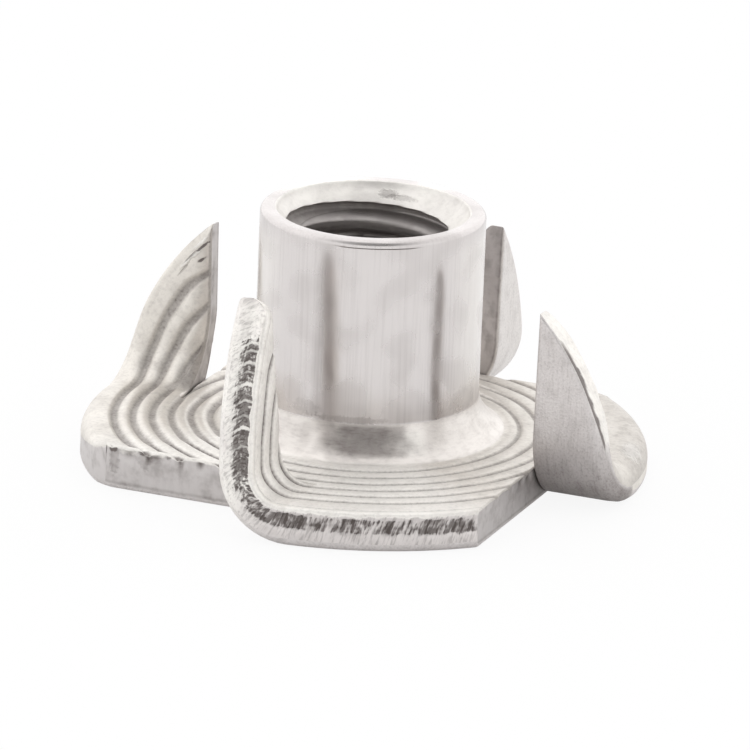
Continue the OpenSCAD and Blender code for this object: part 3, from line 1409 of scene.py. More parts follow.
@dataclass(frozen=True)
class Patch:
    """A patch of the barrel that is painted darker or paler, by direction in degrees and height in mm."""

    facing: float
    half: float
    low: float
    high: float
    amount: float
    low_soft: float = 0.15
    high_soft: float = 0.1
    side_soft: float = 0.5
    least_soft: float = 1.1

    def share(self, angle: Array, z: Array) -> Array:
        """How much of the patch each place has.

        Args:
            angle: directions of the places, in radians.
            z: heights of the places.

        Returns:
            The patch's amount where it is full, and 0 outside it.
        """
        soft = max(self.least_soft, self.side_soft * self.half)
        level = smoothstep(self.low - self.low_soft, self.low + self.low_soft, z)
        level = level * smoothstep(self.high + self.high_soft, self.high - self.high_soft, z)
        away = apart(np.degrees(angle), self.facing)
        return self.amount * level * smoothstep(self.half + soft, self.half - soft, away)


@dataclass
class Barrel:
    """The barrel drawn up from the blank: foot, wall, lip, countersink and thread."""

    radius: float = 3.85
    height: float = 9.0
    inset: float = 0.006
    snap: float = 0.01
    foot_z: float = 2.55
    foot_hollow: float = 1.8
    foot_rows: int = 12
    wall_starts: float = 0.06
    wall_low: float = 2.9
    wall_high: float = 0.14
    wall_rows: int = 14
    dents: Noise = Noise((2.6, 2.6, 0.25), 9.0)
    foot_dent: float = 0.018
    wall_dent: float = 0.006
    dent_starts: float = 0.25
    lip_w: float = 0.55
    lip_round: float = 0.2
    lip_rows: int = 8
    # out from the countersink and down from the top
    lip_edge: tuple[Pair, ...] = ((0.12, 0.0), (0.05, 0.008))
    countersink: float = 0.38
    countersink_r: float = 3.0
    countersink_hollow: float = 0.05
    mouth_round: float = 1.1
    mouth_turns: Pair = (90, 5)
    mouth_rows: int = 15
    # gap above, lowest height and step of each group of rows
    bore_steps: tuple[Triple, ...] = ((0.03, 7.75, 0.036), (0.07, 6.2, 0.075))
    deep_gap: float = 0.1
    deep_step: float = 0.2
    thread_major: float = 3.02
    thread_minor: float = 2.47
    pitch: float = 1.0
    turned: float = 0.35
    flank: Ramp = Ramp(0.27, 0.86)
    straight_flank: Pair = (0.25, 0.87)
    flank_soft: float = 0.6
    thread_ragged: Noise = Noise((3.0, 3.0, 3.0), 81.0, 0.03)
    thread_starts: Ramp = Ramp(-0.02, 0.05)
    thread_stain: float = 0.35
    under_bend: float = 0.12
    under_rows: Pair = (3.8, 4.2)
    # the crushed line under the lip, painted dark as the shade in its groove; its widths in radians
    burr_z: float = 8.745
    burr_depth: float = 0.03
    burr_facing: float = -65.0
    burr_half: float = 0.34
    burr_soft: float = 0.1
    burr_rows: tuple[float, ...] = (-0.045, -0.018, 0, 0.018)
    # darkening: a painted reflection on the foot, grey smudges above it and painted shade on the lip's
    # front; directions in degrees from the camera's side
    foot_soft: float = 0.05
    camera_side: float = -69.5
    foot_reflection: Ramp = Ramp(30.0, 5.0)
    camera_side_ragged: Noise = Noise((2.4, 2.4, 2.4), 71.0, 10)
    foot_reflection_low: Ramp = Ramp(1.5, 1.7)
    foot_reflection_amount: float = 0.8
    smudge: Noise = Noise((1.1, 1.1, 1.3), 77.0, 1.2, 0.1)
    smudge_height: Ramp = Ramp(3.9, 2.7)
    smudge_amount: float = 0.3
    lip_shade_height: Ramp = Ramp(8.82, 8.9)
    lip_shade_facing: Ramp = Ramp(60, 30)
    lip_shade_amount: float = 0.16
    painted_reflections_and_dark_patches: tuple[Patch, ...] = (
        # the first two are painted reflections: the dark bands that the prongs leave in the wall. The
        # others darken the foot and the lip's two sides
        Patch(-94.6, 2.4, 2.7, 8.0, 0.17),
        Patch(-31.4, 1.9, 2.7, 7.5, 0.17),
        Patch(-109.0, 12.0, 1.5, 2.4, 0.2),
        Patch(8.0, 45.0, 8.85, 9.1, 0.1),
        Patch(-155.0, 45.0, 8.85, 9.1, 0.1),
    )
    painted_highlights: tuple[Patch, ...] = (
        # painted highlights: on the wall's two sides, in the countersink and on the foot
        Patch(8.0, 24.0, 2.7, 8.6, 0.4),
        Patch(-150.0, 24.0, 2.7, 8.6, 0.4),
        Patch(145.0, 24.0, 8.5, 9.1, 1.15),
        Patch(76.0, 8.0, 8.5, 9.1, 0.7),
        Patch(-46.0, 6.0, 1.6, 2.3, 0.7),
    )

    @property
    def lip_inner(self) -> float:
        """Radius at which the lip meets the countersink."""
        return self.radius - self.lip_w

    @property
    def steep(self) -> float:
        """Height at which the countersink turns into its lead-in."""
        return self.height - self.countersink

    @property
    def lead(self) -> float:
        """Height at which the countersink's lead-in ends."""
        return self.steep - (self.thread_major - self.thread_minor)

    def arc(self, centre: Pair, radius: float, turns: Array) -> list[Pair]:
        """Points of an arc in the barrel's section, one at each angle in radians."""
        x, y = centre
        return [(float(x + radius * math.cos(a)), float(y + radius * math.sin(a))) for a in turns]

    def foot(self, sheet: Sheet) -> list[Pair]:
        """Section of the flared foot, from the flange up to the wall.

        Args:
            sheet: the flange that the foot grows from.

        Returns:
            Radius and height of each row.
        """
        toe, top = np.array([sheet.foot_r, sheet.thickness]), np.array([self.radius, self.foot_z])
        chord = top - toe
        length = np.linalg.norm(chord)
        outward = np.array([chord[1], -chord[0]]) / length
        back = math.sqrt(self.foot_hollow**2 - (length / 2) ** 2)
        centre = (toe + top) / 2 + back * outward
        first, last = (math.atan2(*(p - centre)[::-1]) % (2 * math.pi) for p in (toe, top))
        return self.arc(centre, self.foot_hollow, np.linspace(first, last, self.foot_rows + 1)[1:])

    def outside(self) -> list[Pair]:
        """Section of the wall and the lip, from the foot up and in to the countersink.

        Returns:
            Radius and height of each row.
        """
        lip_z = self.height - self.lip_round
        heights = [
            self.foot_z + self.wall_starts,
            *np.linspace(self.wall_low, lip_z - self.wall_high, self.wall_rows),
            *(self.burr_z + s for s in self.burr_rows),
        ]
        turns = np.radians(np.linspace(0, 90, self.lip_rows))
        lip = self.arc((self.radius - self.lip_round, lip_z), self.lip_round, turns)
        edge = [(self.lip_inner + out, self.height - down) for out, down in self.lip_edge]
        return [*((self.radius, float(z)) for z in heights), *lip, *edge]

    def funnel(self, z: Array) -> Array:
        """The countersink and the drawn mouth.

        Args:
            z: heights in the bore.

        Returns:
            The radius at each height, and 0 where there is neither.
        """
        heights = [self.lead, self.steep, self.height]
        top = np.interp(z, heights, [self.thread_minor, self.countersink_r, self.lip_inner])
        hollow = np.sin(math.pi * (z - self.steep) / self.countersink)
        top = np.where(z > self.steep, top + self.countersink_hollow * hollow, top)
        low = self.thread_minor + round_drop(z, self.mouth_round)
        return np.maximum(np.where(z > self.lead, top, 0), np.where(z < self.mouth_round, low, 0))

    def thread(self, angle: Array, z: Array) -> Array:
        """The right-hand metric thread.

        Args:
            angle: directions in radians.
            z: heights in the bore.

        Returns:
            The radius at each place.
        """
        phase = (z / self.pitch - angle / (2 * math.pi) - self.turned) % 1.0
        across = np.minimum(phase, 1 - phase) * 2
        straight = np.interp(across, self.straight_flank, (0, 1))
        share = between(straight, self.flank.share(across), self.flank_soft)
        return between(self.thread_minor, self.thread_major, share)

    def shade_and_smudges(self, points: Array, angle: Array) -> Array:
        """Darkening of one row: a painted reflection on the foot, grey smudges just above it, painted
        shade on the lip's front, and the patches.

        Args:
            points: n x 3 places on one row of the outside.
            angle: the places' directions, in radians.

        Returns:
            How much each place is darkened, from 0 to 1.
        """
        z = points[:, 2]
        above = smoothstep(self.foot_z - self.foot_soft, self.foot_z + self.foot_soft, z)
        away = apart(np.degrees(angle), self.camera_side) + self.camera_side_ragged.at(points)
        # painted reflection of the tent's dim opening, on the foot's front
        foot_reflection = self.foot_reflection.share(away) * self.foot_reflection_low.share(z) * (1 - above)
        cloud = np.clip(self.smudge.at(points), 0, 1) * self.smudge_height.share(z) * above
        # painted shade: the lip's top is darker on the side towards the camera
        lip = self.lip_shade_height.share(z) * self.lip_shade_facing.share(away)
        streaks = sum(patch.share(angle, z) for patch in self.painted_reflections_and_dark_patches)
        return self.foot_reflection_amount * foot_reflection + self.smudge_amount * cloud + self.lip_shade_amount * lip + streaks

    def shine(self, points: Array, angle: Array) -> Array:
        """How far each place of one row is made paler by the painted highlights, from 0 to 1."""
        return sum(patch.share(angle, points[:, 2]) for patch in self.painted_highlights)

    def bore_heights(self) -> list[float]:
        """Heights of the bore's rows, closer together where they show.

        Returns:
            The heights, from the lip down.
        """
        heights, last = [], self.height
        deep = (self.deep_gap, self.mouth_round + self.deep_gap / 2, self.deep_step)
        for gap, low, step in (*self.bore_steps, deep):
            heights.extend(np.arange(last - gap, low, -step))
            last = heights[-1]
        turns = np.radians(np.linspace(*self.mouth_turns, self.mouth_rows))
        mouth = self.mouth_round * (1 - np.cos(turns))
        return [float(z) for z in (*heights, *mouth)]

    def add_outside(self, parts: MeshParts, sheet: Sheet, angle: Array, last: Array) -> Array:
        """Adds the foot, the wall and the lip.

        Args:
            parts: the mesh so far.
            sheet: the flange that the barrel stands on.
            angle: directions of each row's vertices, in radians.
            last: vertices of the flange's upper inner ring.

        Returns:
            The vertices of the lip's inner edge.
        """
        away = np.radians(apart(np.degrees(angle), self.burr_facing))
        crush = smoothstep(self.burr_half + self.burr_soft, self.burr_half - self.burr_soft, away)
        for r, z in [*self.foot(sheet), *self.outside()]:
            dent = self.dents.at(circle(angle, 1.0, z))
            uneven = (self.foot_dent if z < self.foot_z else self.wall_dent) * dent
            fade = min(1.0, abs(sheet.foot_r - r) / self.dent_starts)
            # the crushed line is also painted dark, as the shade in its groove
            burr = crush * (abs(z - self.burr_z) < self.snap)
            radius = r + uneven * fade - self.burr_depth * burr - self.inset
            points = circle(angle, radius, z)
            # pale: the painted highlights on the wall's sides and on the foot
            last = parts.add_row(
                last, points, Zone.FOOT if z < self.foot_z + self.snap else Zone.BARREL,
                stain=burr + self.shade_and_smudges(points, angle), pale=self.shine(points, angle))
        return last

    def add_bore(self, parts: MeshParts, angle: Array, last: Array) -> Array:
        """Adds the countersink, the thread and the drawn mouth.

        Args:
            parts: the mesh so far.
            angle: directions of each row's vertices, in radians.
            last: vertices of the lip's inner edge.

        Returns:
            The vertices of the lowest row.
        """
        for z in self.bore_heights():
            level = np.full(AROUND, z)
            bore, open_r = self.thread(angle, level), self.funnel(level)
            points = circle(angle, np.maximum(bore, open_r), z)
            in_thread = self.thread_starts.share(bore - open_r + self.thread_ragged.at(points))
            zone, most = (Zone.MOUTH, 1.0) if z > self.lead else (Zone.THREAD, self.thread_stain)
            # pale: the painted highlights in the countersink
            last = parts.add_row(
                last, points, Zone.UNDERSIDE if z < self.under_bend else zone,
                stain=in_thread * most, pale=self.shine(points, angle) * (1 - in_thread))
        return last

    def build(self, parts: MeshParts, sheet: Sheet, upper: Array, lower: Array) -> None:
        """Adds the barrel between the flange's inner rings.

        Args:
            parts: the mesh so far.
            sheet: the flange that the barrel stands on.
            upper: vertices of the upper face's inner ring.
            lower: vertices of the lower face's inner ring.
        """
        angle = around()
        last = self.add_bore(parts, angle, self.add_outside(parts, sheet, angle, upper))
        for r in self.under_rows:
            last = parts.add_row(last, circle(angle, r, 0.0), Zone.UNDERSIDE)
        parts.add_band(last, lower, Zone.UNDERSIDE)


class Sock:
    """A shader socket that adds Math nodes through ordinary arithmetic."""

    def __init__(self, tree: "Tree", link: bpy.types.NodeSocket | None) -> None:
        """Wraps one output socket of a tree."""
        self.tree, self.link = tree, link

    def __add__(self, other: "Value") -> "Sock":
        """Adds a socket or a number."""
        return self.tree.maths("ADD", self, other)

    def __sub__(self, other: "Value") -> "Sock":
        """Takes away a socket or a number."""
        return self.tree.maths("SUBTRACT", self, other)

    def __rsub__(self, other: "Value") -> "Sock":
        """Takes this socket away from a number."""
        return self.tree.maths("SUBTRACT", other, self)

    def __mul__(self, other: "Value") -> "Sock":
        """Multiplies by a socket or a number."""
        return self.tree.maths("MULTIPLY", self, other)

    __radd__ = __add__
    __rmul__ = __mul__


Value = Sock | float | tuple[float, ...]


class Tree:
    """A node tree that is filled through a few typed calls."""

    def __init__(self, owner: bpy.types.Material | bpy.types.World) -> None:
        """Clears the node tree of a material or world.

        Args:
            owner: the material or world.
        """
        owner.use_nodes = True
        self.nodes, self.links = owner.node_tree.nodes, owner.node_tree.links
        self.nodes.clear()

    def add(
        self, kind: str, settings: dict[str, object] | None = None,
        values: dict[str | int, Value] | None = None, output: str | int = 0,
    ) -> Sock:
        """Adds a node.

        Args:
            kind: the node's type name.
            settings: the node's own properties, which are set first.
            values: numbers or sockets for its inputs.
            output: the output that is returned.

        Returns:
            The chosen output, or the node's first output.
        """
        node = self.nodes.new(kind)
        for name, value in (settings or {}).items():
            setattr(node, name, value)
        for name, value in (values or {}).items():
            if isinstance(value, Sock):
                self.links.new(value.link, node.inputs[name])
            else:
                node.inputs[name].default_value = value
        return Sock(self, node.outputs[output] if len(node.outputs) else None)

    def maths(self, operation: str, *values: Value) -> Sock:
        """Adds a Math node."""
        return self.add("ShaderNodeMath", {"operation": operation}, dict(enumerate(values)))

    def ease(self, value: Sock, low: float, high: float, start: float = 0.0, end: float = 1.0) -> Sock:
        """Eases a value from start at low to end at high."""
        values = {0: value, 1: low, 2: high, 3: start, 4: end}
        return self.add("ShaderNodeMapRange", {"interpolation_type": "SMOOTHSTEP"}, values)

    def stretch(self, vector: Sock, scale: Triple) -> Sock:
        """Multiplies a vector by one number for each axis."""
        return self.add("ShaderNodeVectorMath", {"operation": "MULTIPLY"}, {0: vector, 1: scale})

    def dot(self, vector: Sock, other: Vector) -> Sock:
        """Dot product of a vector socket with a fixed direction."""
        settings = {"operation": "DOT_PRODUCT"}
        return self.add("ShaderNodeVectorMath", settings, {0: vector, 1: tuple(other)}, output="Value")

    def speckle(self, vector: Sock, scale: float, detail: float = 3.0, rough: float = 0.6) -> Sock:
        """Adds a noise texture, with its repeats per mm and its finer layers."""
        values = {"Vector": vector, "Scale": scale, "Detail": detail, "Roughness": rough}
        return self.add("ShaderNodeTexNoise", {}, values)

    def blend(self, share: Value, first: Value, second: Value) -> Sock:
        """Mixes two colours."""
        values = {0: share, 6: first, 7: second}
        return self.add("ShaderNodeMix", {"data_type": "RGBA"}, values, output=2)

    def stored(self, name: str, output: str = "Fac") -> Sock:
        """Reads what is stored on the mesh under a name."""
        return self.add("ShaderNodeAttribute", {"attribute_name": name}, output=output)

    def ray(self, kind: str) -> Sock:
        """Tells whether a ray is of one kind, such as one that the camera sees."""
        return self.add("ShaderNodeLightPath", output=f"Is {kind} Ray")

    def finish(self, kind: str, shader: Sock) -> None:
        """Links a shader to the tree's output."""
        self.add(kind, {}, {"Surface": shader})


@dataclass(frozen=True)
class Mark:
    """A dark or pale mark at one place of the flat blank: a nick, a chatter mark, a gap in the tear, a
    dark smudge or a painted highlight.
    """

    zone: Zone
    centre: Triple
    size: Triple
    turn: float
    dark: float = 0.0
    pale: float = 0.0
    clear: float = 0.0
    ragged: float = 1.6
    outer: float = 2.1
    inner: float = 1.4

    def share(self, tree: Tree, place: Sock, ragged: Sock) -> Sock:
        """How much of the mark each place has.

        Args:
            tree: the material's tree.
            place: places on the flat blank.
            ragged: noise that breaks up the mark's edge.

        Returns:
            The share, from 0 to 1.
        """
        turn = (0, 0, math.radians(self.turn))
        values = {"Vector": place, "Location": self.centre, "Rotation": turn, "Scale": self.size}
        own = tree.add("ShaderNodeMapping", {"vector_type": "TEXTURE"}, values)
        reach = tree.add("ShaderNodeVectorMath", {"operation": "LENGTH"}, {0: own}, output="Value")
        return tree.ease(reach + ragged * self.ragged, self.outer, self.inner)


def tear_gap(degrees: float, half: float, clear: float) -> Mark:
    """Makes a gap in the front-left prong's torn band.

    Args:
        degrees: the gap's direction from the axis.
        half: half its width along the rim.
        clear: how far the band's dirt is gone.

    Returns:
        The mark, which stands on the rim.
    """
    turn = math.radians(degrees)
    centre = (BLANK_R * math.cos(turn), BLANK_R * math.sin(turn), 2.7)
    return Mark(Zone.RIM, centre, (half, 0.5, 1.2), degrees + 90, pale=0.3, clear=clear)


MARKS: tuple[Mark, ...] = (
    Mark(Zone.FACE, (-6.92, 6.2, 1.2), (0.24, 0.045, 2), 46, dark=1.0),
    Mark(Zone.FACE, (-6.94, 5.74, 1.3), (0.16, 0.045, 2), 38, dark=0.95),
    Mark(Zone.FACE, (-7.3, 5.82, 1.3), (0.3, 0.03, 2), 50, dark=0.55),
    Mark(Zone.FACE, (-7.5, 5.35, 1.3), (0.3, 0.03, 2), 54, dark=0.4),
    Mark(Zone.FACE, (-7.02, 6.3, 1.2), (0.34, 0.05, 2), 48, pale=0.9),
    Mark(Zone.FACE, (-7.12, 5.95, 1.3), (0.34, 0.06, 2), 48, pale=0.8),
    Mark(Zone.FACE, (-7.42, 5.62, 1.3), (0.34, 0.05, 2), 52, pale=0.6),
    # painted highlights where the burr along the left lobe's cut catches the light
    Mark(Zone.FACE, (-6.3, -6.68, 1.3), (0.4, 0.13, 2), 0, pale=0.9),
    Mark(Zone.FACE, (-5.3, -6.7, 1.3), (0.5, 0.1, 2), 0, pale=0.8),
    # a painted highlight on the worn right lobe
    Mark(Zone.FACE, (9.08, 1.71, 1.3), (0.32, 0.75, 2), 12, pale=0.9),
    Mark(Zone.CUT, (-6.4, -6.85, 1.44), (0.19, 0.6, 0.12), 0, dark=0.8),
    Mark(Zone.CUT, (-5.32, -6.85, 1.46), (0.14, 0.6, 0.13), 0, dark=0.8),
    Mark(Zone.CUT, (-4.36, -6.85, 1.44), (0.11, 0.6, 0.1), 0, dark=0.65),
    Mark(Zone.CUT, (-6.36, -6.85, 1.1), (0.19, 0.6, 0.52), 0, dark=0.26),
    Mark(Zone.CUT, (-5.24, -6.85, 1.2), (0.2, 0.6, 0.34), 0, dark=0.22),
    # painted highlights on the burr's top edge along the left lobe's cut
    Mark(Zone.CUT, (-5.85, -6.85, 1.4), (0.34, 0.6, 0.14), 0, pale=0.9),
    Mark(Zone.CUT, (-4.8, -6.85, 1.42), (0.28, 0.6, 0.1), 0, pale=0.8),
    Mark(Zone.BARREL, (3.75, -0.64, 3.0), (0.7, 0.8, 0.45), 0, dark=0.2),
    Mark(Zone.BARREL, (1.1, -3.7, 2.68), (1.5, 0.6, 0.12), 0, dark=0.3),
    Mark(Zone.BARREL, (-0.7, -3.75, 2.9), (0.5, 0.6, 0.3), 0, dark=0.2),
    Mark(Zone.MOUTH, (-0.62, 3.05, 8.62), (0.34, 0.5, 0.13), 0, dark=0.5),
    Mark(Zone.MOUTH, (-0.1, 3.1, 8.56), (0.5, 0.5, 0.08), 0, dark=0.3),
    tear_gap(-104.3, 0.05, 0.4),
    tear_gap(-108.0, 0.07, 0.85),
    tear_gap(-110.4, 0.045, 0.35),
    tear_gap(-113.4, 0.055, 0.55),
    tear_gap(-116.7, 0.075, 0.9),
    tear_gap(-119.2, 0.045, 0.4),
    tear_gap(-121.0, 0.065, 0.65),
    tear_gap(-123.5, 0.05, 0.5),
    tear_gap(-125.2, 0.06, 0.75),
)


@dataclass(frozen=True)
class SteelFinish:
    """Steel as one way of working leaves it: its colour, gloss, grain, soiling and painted shade.

    An Ease holds the values at which a result starts and ends, and the two results.
    """

    zone: Zone
    colour: Triple = (0.69, 0.655, 0.645)
    dark: Triple = (0.25, 0.222, 0.212)
    bright: Triple = (0.95, 0.92, 0.875)
    metallic: float = 1.0
    rubbed_metallic: float = 0.4
    roughness: float = 0.3
    uneven_roughness: float = 0.1
    uneven_range: Pair = (0.3, 0.7)
    soiled_roughness: float = 0.2
    grain: Triple = (8.0, 8.0, 8.0)
    grain_height: float = 0.006
    grain_dark: float = 0.08
    grain_range: Pair = (0.46, 0.66)
    pit_scale: float = 9.0
    pit_height: float = 0.004
    pit_dark: float = 0.0
    pit_range: Pair = (0.45, 0.7)
    mottle: float = 0.12
    mottle_scale: float = 1.4
    mottle_detail: float = 3.0
    mottle_range: Pair = (0.42, 0.72)
    stain: float = 0.9
    groove_dark: float = 0.0
    groove_patchy: Ease = (0.25, 0.75, 0.9, 1.1)
    torn_dark: float = 0.0
    torn_height: float = 0.03
    torn_stroke: Triple = (10.0, 10.0, 1.9)
    torn_blotch: float = 4.0
    torn_detail: float = 1.5
    torn_by_blotch: float = 0.8
    torn_by_mask: float = 0.4
    torn_edge: Pair = (0.05, 0.4)
    torn_bite: Ease = (1.05, 1.38, 0.0, 0.92)
    mark_height: float = 0.02

    def torn(self, tree: Tree, place: Sock) -> Sock:
        """The tear's own colour and relief.

        Args:
            tree: the material's tree.
            place: places on the flat blank.

        Returns:
            How deep the tear bites at each place, from 0 to 1.
        """
        torn = tree.stored(Mask.TORN.value)
        streaks = tree.speckle(tree.stretch(place, self.torn_stroke), 1.0, self.torn_detail)
        blotch = tree.speckle(place, self.torn_blotch, self.torn_detail)
        level = streaks + blotch * self.torn_by_blotch + torn * self.torn_by_mask
        return tree.ease(torn, *self.torn_edge) * tree.ease(level, *self.torn_bite)

    def marked(self, tree: Tree, place: Sock, ragged: Sock, layers: Sequence[Sock]) -> list[Sock]:
        """Adds the marks: nicks, chatter marks, gaps in the tear, dark smudges and painted highlights.

        Args:
            tree: the material's tree.
            place: places on the flat blank.
            ragged: noise that breaks up the marks' edges.
            layers: the soiling with its painted shade, the brightness and the height without them.

        Returns:
            The same three with them.
        """
        soil_and_shade, pale, height = layers
        for mark in (m for m in MARKS if m.zone == self.zone):
            share = mark.share(tree, place, ragged)
            if mark.dark:
                soil_and_shade = soil_and_shade + share * mark.dark
                height = height - share * self.mark_height
            else:
                pale = pale + share * mark.pale
                height = height + share * self.mark_height
            if mark.clear:
                soil_and_shade = soil_and_shade * (1 - share * mark.clear)
        return [tree.maths("MINIMUM", soil_and_shade, 1.0), tree.maths("MINIMUM", pale, 1.0), height]

    def material(self) -> bpy.types.Material:
        """Makes the material.

        Returns:
            The material.
        """
        made = bpy.data.materials.new(f"steel_{self.zone.name.lower()}")
        tree = Tree(made)
        on_wall = self.zone in (Zone.RIM, Zone.CUT)
        place = tree.stored(WALL_PLACE if on_wall else GRAIN_PLACE, "Vector")
        lines = tree.speckle(tree.stretch(place, self.grain), 1.0)
        pits = tree.speckle(place, self.pit_scale)
        cloud = tree.speckle(place, self.mottle_scale, self.mottle_detail)
        soil_and_shade = tree.ease(cloud, *self.mottle_range) * self.mottle
        soil_and_shade = soil_and_shade + tree.ease(lines, *self.grain_range) * self.grain_dark
        height = lines * self.grain_height + pits * self.pit_height
        if self.pit_dark:
            soil_and_shade = soil_and_shade + tree.ease(pits, *self.pit_range) * self.pit_dark
        # the ring grooves are darkened: dirt in them, and painted shade
        if self.groove_dark:
            patchy = tree.ease(pits, *self.groove_patchy)
            soil_and_shade = soil_and_shade + tree.stored(Mask.GROOVE.value) * patchy * self.groove_dark
        if self.torn_dark:
            bite = self.torn(tree, place)
            soil_and_shade = soil_and_shade + bite * self.torn_dark
            height = height - bite * self.torn_height
        # the stored stain carries dirt, and painted shade and painted reflections
        soil_and_shade = soil_and_shade + tree.stored(Mask.STAIN.value) * self.stain
        layers = (soil_and_shade, tree.stored(Mask.PALE.value), height)
        soil_and_shade, pale, height = self.marked(tree, place, pits, layers)
        clean = tree.blend(pale, (*self.colour, 1), (*self.bright, 1))
        rough = (self.roughness, self.roughness + self.uneven_roughness)
        values: dict[str | int, Value] = {
            "Base Color": tree.blend(soil_and_shade, clean, (*self.dark, 1)),
            "Metallic": self.metallic - pale * (self.metallic * (1 - self.rubbed_metallic)),
            "Roughness": tree.ease(cloud, *self.uneven_range, *rough) + soil_and_shade * self.soiled_roughness,
        }
        if self.grain_height:
            relief = {"Strength": 1.0, "Distance": MM, "Height": height}
            values["Normal"] = tree.add("ShaderNodeBump", {}, relief)
        tree.finish("ShaderNodeOutputMaterial", tree.add("ShaderNodeBsdfPrincipled", {}, values))
        return made


FINISHES: tuple[SteelFinish, ...] = (
    SteelFinish(
        Zone.FACE, colour=(0.82, 0.78, 0.725), dark=(0.21, 0.185, 0.175), metallic=0.55,
        roughness=0.36, grain=(7, 7, 7), grain_height=0.004, grain_dark=0.1, pit_height=0.006,
        pit_dark=0.08, groove_dark=0.85),
    SteelFinish(
        Zone.RIM, colour=(0.72, 0.68, 0.665), dark=(0.12, 0.102, 0.095), metallic=0.75,
        roughness=0.36, grain=(11, 11, 1.8), grain_height=0.014, grain_dark=0.3, pit_scale=7.0,
        pit_height=0.012, mottle_scale=3.0, torn_dark=0.9),
    SteelFinish(
        Zone.CUT, colour=(0.63, 0.6, 0.59), dark=(0.2, 0.175, 0.165), metallic=0.85,
        roughness=0.38, grain=(6, 6, 1.4), grain_dark=0.05, mottle=0.3, mottle_scale=1.6),
    SteelFinish(
        Zone.BARREL, colour=(0.71, 0.675, 0.665), roughness=0.19, grain=(13, 13, 0.25),
        grain_height=0.0, grain_dark=0.09, mottle_scale=0.9, mottle_detail=0.5),
    SteelFinish(
        Zone.THREAD, colour=(0.48, 0.45, 0.44), dark=(0.26, 0.24, 0.23), roughness=0.4,
        grain=(3, 3, 16), grain_height=0.004),
    SteelFinish(
        Zone.UNDERSIDE, colour=(0.71, 0.675, 0.665), metallic=0.85, roughness=0.36,
        grain=(11, 1.3, 11), grain_dark=0.12, pit_scale=13.0, pit_height=0.016, pit_dark=0.2),
    SteelFinish(
        Zone.FOOT, colour=(0.78, 0.74, 0.705), metallic=0.85, grain=(3, 3, 14),
        grain_height=0.005, grain_dark=0.1, pit_scale=12.0, pit_height=0.006, mottle=0.16,
        mottle_scale=1.6),
    SteelFinish(
        Zone.MOUTH, colour=(0.84, 0.81, 0.775), dark=(0.3, 0.275, 0.265), metallic=0.5,
        roughness=0.36, grain=(5, 5, 8), mottle=0.14),
)


def added(name: str, data: bpy.types.ID) -> bpy.types.Object:
    """Adds an object to the scene.

    Args:
        name: the object's name.
        data: its mesh, lamp or camera.

    Returns:
        The object.
    """
    made = bpy.data.objects.new(name, data)
    bpy.context.scene.collection.objects.link(made)
    return made


@dataclass
class TeeNut:
    """The whole nut as one closed mesh."""

    sheet: Sheet = field(default_factory=Sheet)
    barrel: Barrel = field(default_factory=Barrel)
    name: str = "tee_nut_dressed"
    sharp_from: float = 50.0

    def mesh(self, parts: MeshParts) -> bpy.types.Mesh:
        """Makes the mesh and gives it its finishes.

        Args:
            parts: what the mesh is made of, in mm.

        Returns:
            The mesh, in metres.
        """
        mesh = bpy.data.meshes.new(self.name)
        mesh.from_pydata((np.concatenate(parts.points) * MM).tolist(), [], parts.faces)
        mesh.polygons.foreach_set("material_index", parts.zones)
        mesh.polygons.foreach_set("use_smooth", [True] * len(parts.faces))
        for name, places in ((GRAIN_PLACE, parts.grain), (WALL_PLACE, parts.wall_grain)):
            layer = mesh.attributes.new(name, "FLOAT_VECTOR", "POINT")
            layer.data.foreach_set("vector", np.concatenate(places).astype(np.float32).ravel())
        for mask, stored in parts.masks.items():
            layer = mesh.attributes.new(mask.value, "FLOAT", "POINT")
            layer.data.foreach_set("value", np.concatenate(stored).astype(np.float32))
        for finish in FINISHES:
            mesh.materials.append(finish.material())
        mesh.set_sharp_from_angle(angle=math.radians(self.sharp_from))
        mesh.update()
        return mesh

    def build(self) -> bpy.types.Object:
        """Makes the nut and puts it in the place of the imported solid.

        Returns:
            The nut's object.
        """
        parts = MeshParts()
        upper, lower = self.sheet.build(parts)
        LOG.info("flange and prongs: %d vertices", parts.size)
        self.barrel.build(parts, self.sheet, upper, lower)
        mesh = self.mesh(parts)
        made = added(self.name, mesh)
        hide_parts("tee_nut")
        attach(made, "root")
        LOG.info("%s: %d vertices, %d faces", self.name, len(mesh.vertices), len(mesh.polygons))
        return made


@dataclass(frozen=True)
class Lamp:
    """A soft square lamp that faces the nut, with its angles in degrees."""

    name: str
    azimuth: float
    elevation: float
    size: float
    power: float
    distance: float = 0.5


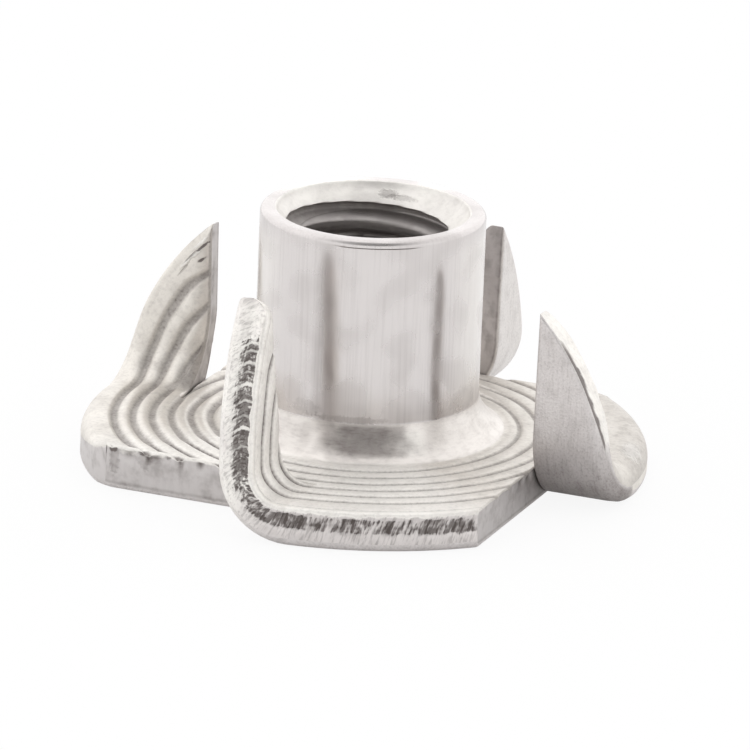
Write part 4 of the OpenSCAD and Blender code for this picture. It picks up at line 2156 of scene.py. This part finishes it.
@dataclass
class Studio:
    """Floor, lamps, surroundings and camera."""

    target: Triple = (0.0, 0.0, 4.5)
    distance: float = 310.0
    azimuth: float = 0.372
    elevation: float = 0.310
    roll: float = 0.040
    pixels_per_mm: float = 29.39
    picture: int = 750
    centre: Pair = (368.4, 334.9)
    sensor: float = 36.0
    clip: Pair = (0.01, 20.0)
    lamps: tuple[Lamp, ...] = (Lamp("key", -40, 62, 0.8, 0.4),)
    floor_half: float = 1.5
    floor_paint: float = 0.9
    floor_shown: float = 0.9
    floor_mirrored: float = 0.2
    tent_low: float = -18.0
    tent_ease: Ease = (0.3, 0.97, 1.2, 1.38)
    opening_high: float = 45.0
    opening_half: Pair = (42.0, 20.0)
    opening_level: float = 0.2

    def back(self, azimuth: float, elevation: float) -> Vector:
        """Direction from the nut to a place round it, angles in radians."""
        level = math.cos(elevation)
        return Vector((math.sin(azimuth) * level, -math.cos(azimuth) * level, math.sin(elevation)))

    def camera(self) -> None:
        """Sets up the camera."""
        data = bpy.data.cameras.new("camera")
        data.sensor_width = self.sensor
        data.lens = self.pixels_per_mm * self.distance / self.picture * self.sensor
        half = self.picture / 2
        data.shift_x = (half - self.centre[0]) / self.picture
        data.shift_y = -(half - self.centre[1]) / self.picture
        data.clip_start, data.clip_end = self.clip
        made = added("camera", data)
        back = self.back(self.azimuth, self.elevation)
        turn = (-back).to_track_quat("-Z", "Y").to_matrix().to_4x4()
        place = Matrix.Translation((Vector(self.target) + back * self.distance) * MM)
        made.matrix_world = place @ turn @ Matrix.Rotation(self.roll, 4, "Z")
        bpy.context.scene.camera = made

    def hang(self, lamp: Lamp) -> None:
        """Adds one lamp.

        Args:
            lamp: the lamp.
        """
        data = bpy.data.lights.new(lamp.name, "AREA")
        data.shape, data.size, data.energy = "SQUARE", lamp.size, lamp.power
        made = added(lamp.name, data)
        back = self.back(math.radians(lamp.azimuth), math.radians(lamp.elevation))
        made.location = back * lamp.distance
        made.rotation_euler = (-back).to_track_quat("-Z", "Y").to_euler()

    def floor(self) -> None:
        """Lays the floor, which shows white and keeps the nut's shadow."""
        mesh = bpy.data.meshes.new("floor")
        corners = [(-1, -1), (1, -1), (1, 1), (-1, 1)]
        points = [(x * self.floor_half, y * self.floor_half, 0) for x, y in corners]
        mesh.from_pydata(points, [], [(0, 1, 2, 3)])
        made = added("floor", mesh)
        material = bpy.data.materials.new("floor_white")
        tree = Tree(material)
        grey = (self.floor_paint, self.floor_paint, self.floor_paint, 1)
        paint = tree.add("ShaderNodeBsdfDiffuse", {}, {"Color": grey})
        white = tree.add("ShaderNodeEmission", {}, {"Color": WHITE, "Strength": 1.0})
        seen = tree.ray("Camera") * self.floor_shown + tree.ray("Glossy") * self.floor_mirrored
        shader = tree.add("ShaderNodeMixShader", {}, {0: seen, 1: paint, 2: white})
        tree.finish("ShaderNodeOutputMaterial", shader)
        mesh.materials.append(material)

    def surroundings(self) -> None:
        """Makes a white tent with a dim opening high on the camera's side."""
        world = bpy.data.worlds.new("tent")
        bpy.context.scene.world = world
        tree = Tree(world)
        ray = tree.add("ShaderNodeTexCoord", output="Generated")
        toward = tree.dot(ray, self.back(self.azimuth, math.radians(self.opening_high)))
        behind = tree.dot(ray, -self.back(self.azimuth, math.radians(self.tent_low)))
        wide, narrow = (math.cos(math.radians(a)) for a in self.opening_half)
        opening = tree.ease(toward, wide, narrow, 1.0, self.opening_level)
        level = tree.ease(behind, *self.tent_ease) * opening
        seen = tree.ray("Camera")
        level = seen + (1 - seen) * level
        shader = tree.add("ShaderNodeBackground", {}, {"Color": WHITE, "Strength": level})
        tree.finish("ShaderNodeOutputWorld", shader)

    def build(self) -> None:
        """Builds the whole studio."""
        self.camera()
        for lamp in self.lamps:
            self.hang(lamp)
        self.floor()
        self.surroundings()
        bpy.context.scene.view_settings.view_transform = "Standard"
        LOG.info("studio: camera, floor and tent, lamps: %d", len(self.lamps))


def main() -> None:
    """Builds the nut and the studio."""
    logging.basicConfig(level=logging.INFO, format="%(name)s: %(message)s")
    TeeNut().build()
    Studio().build()


if __name__ == "__main__":
    main()
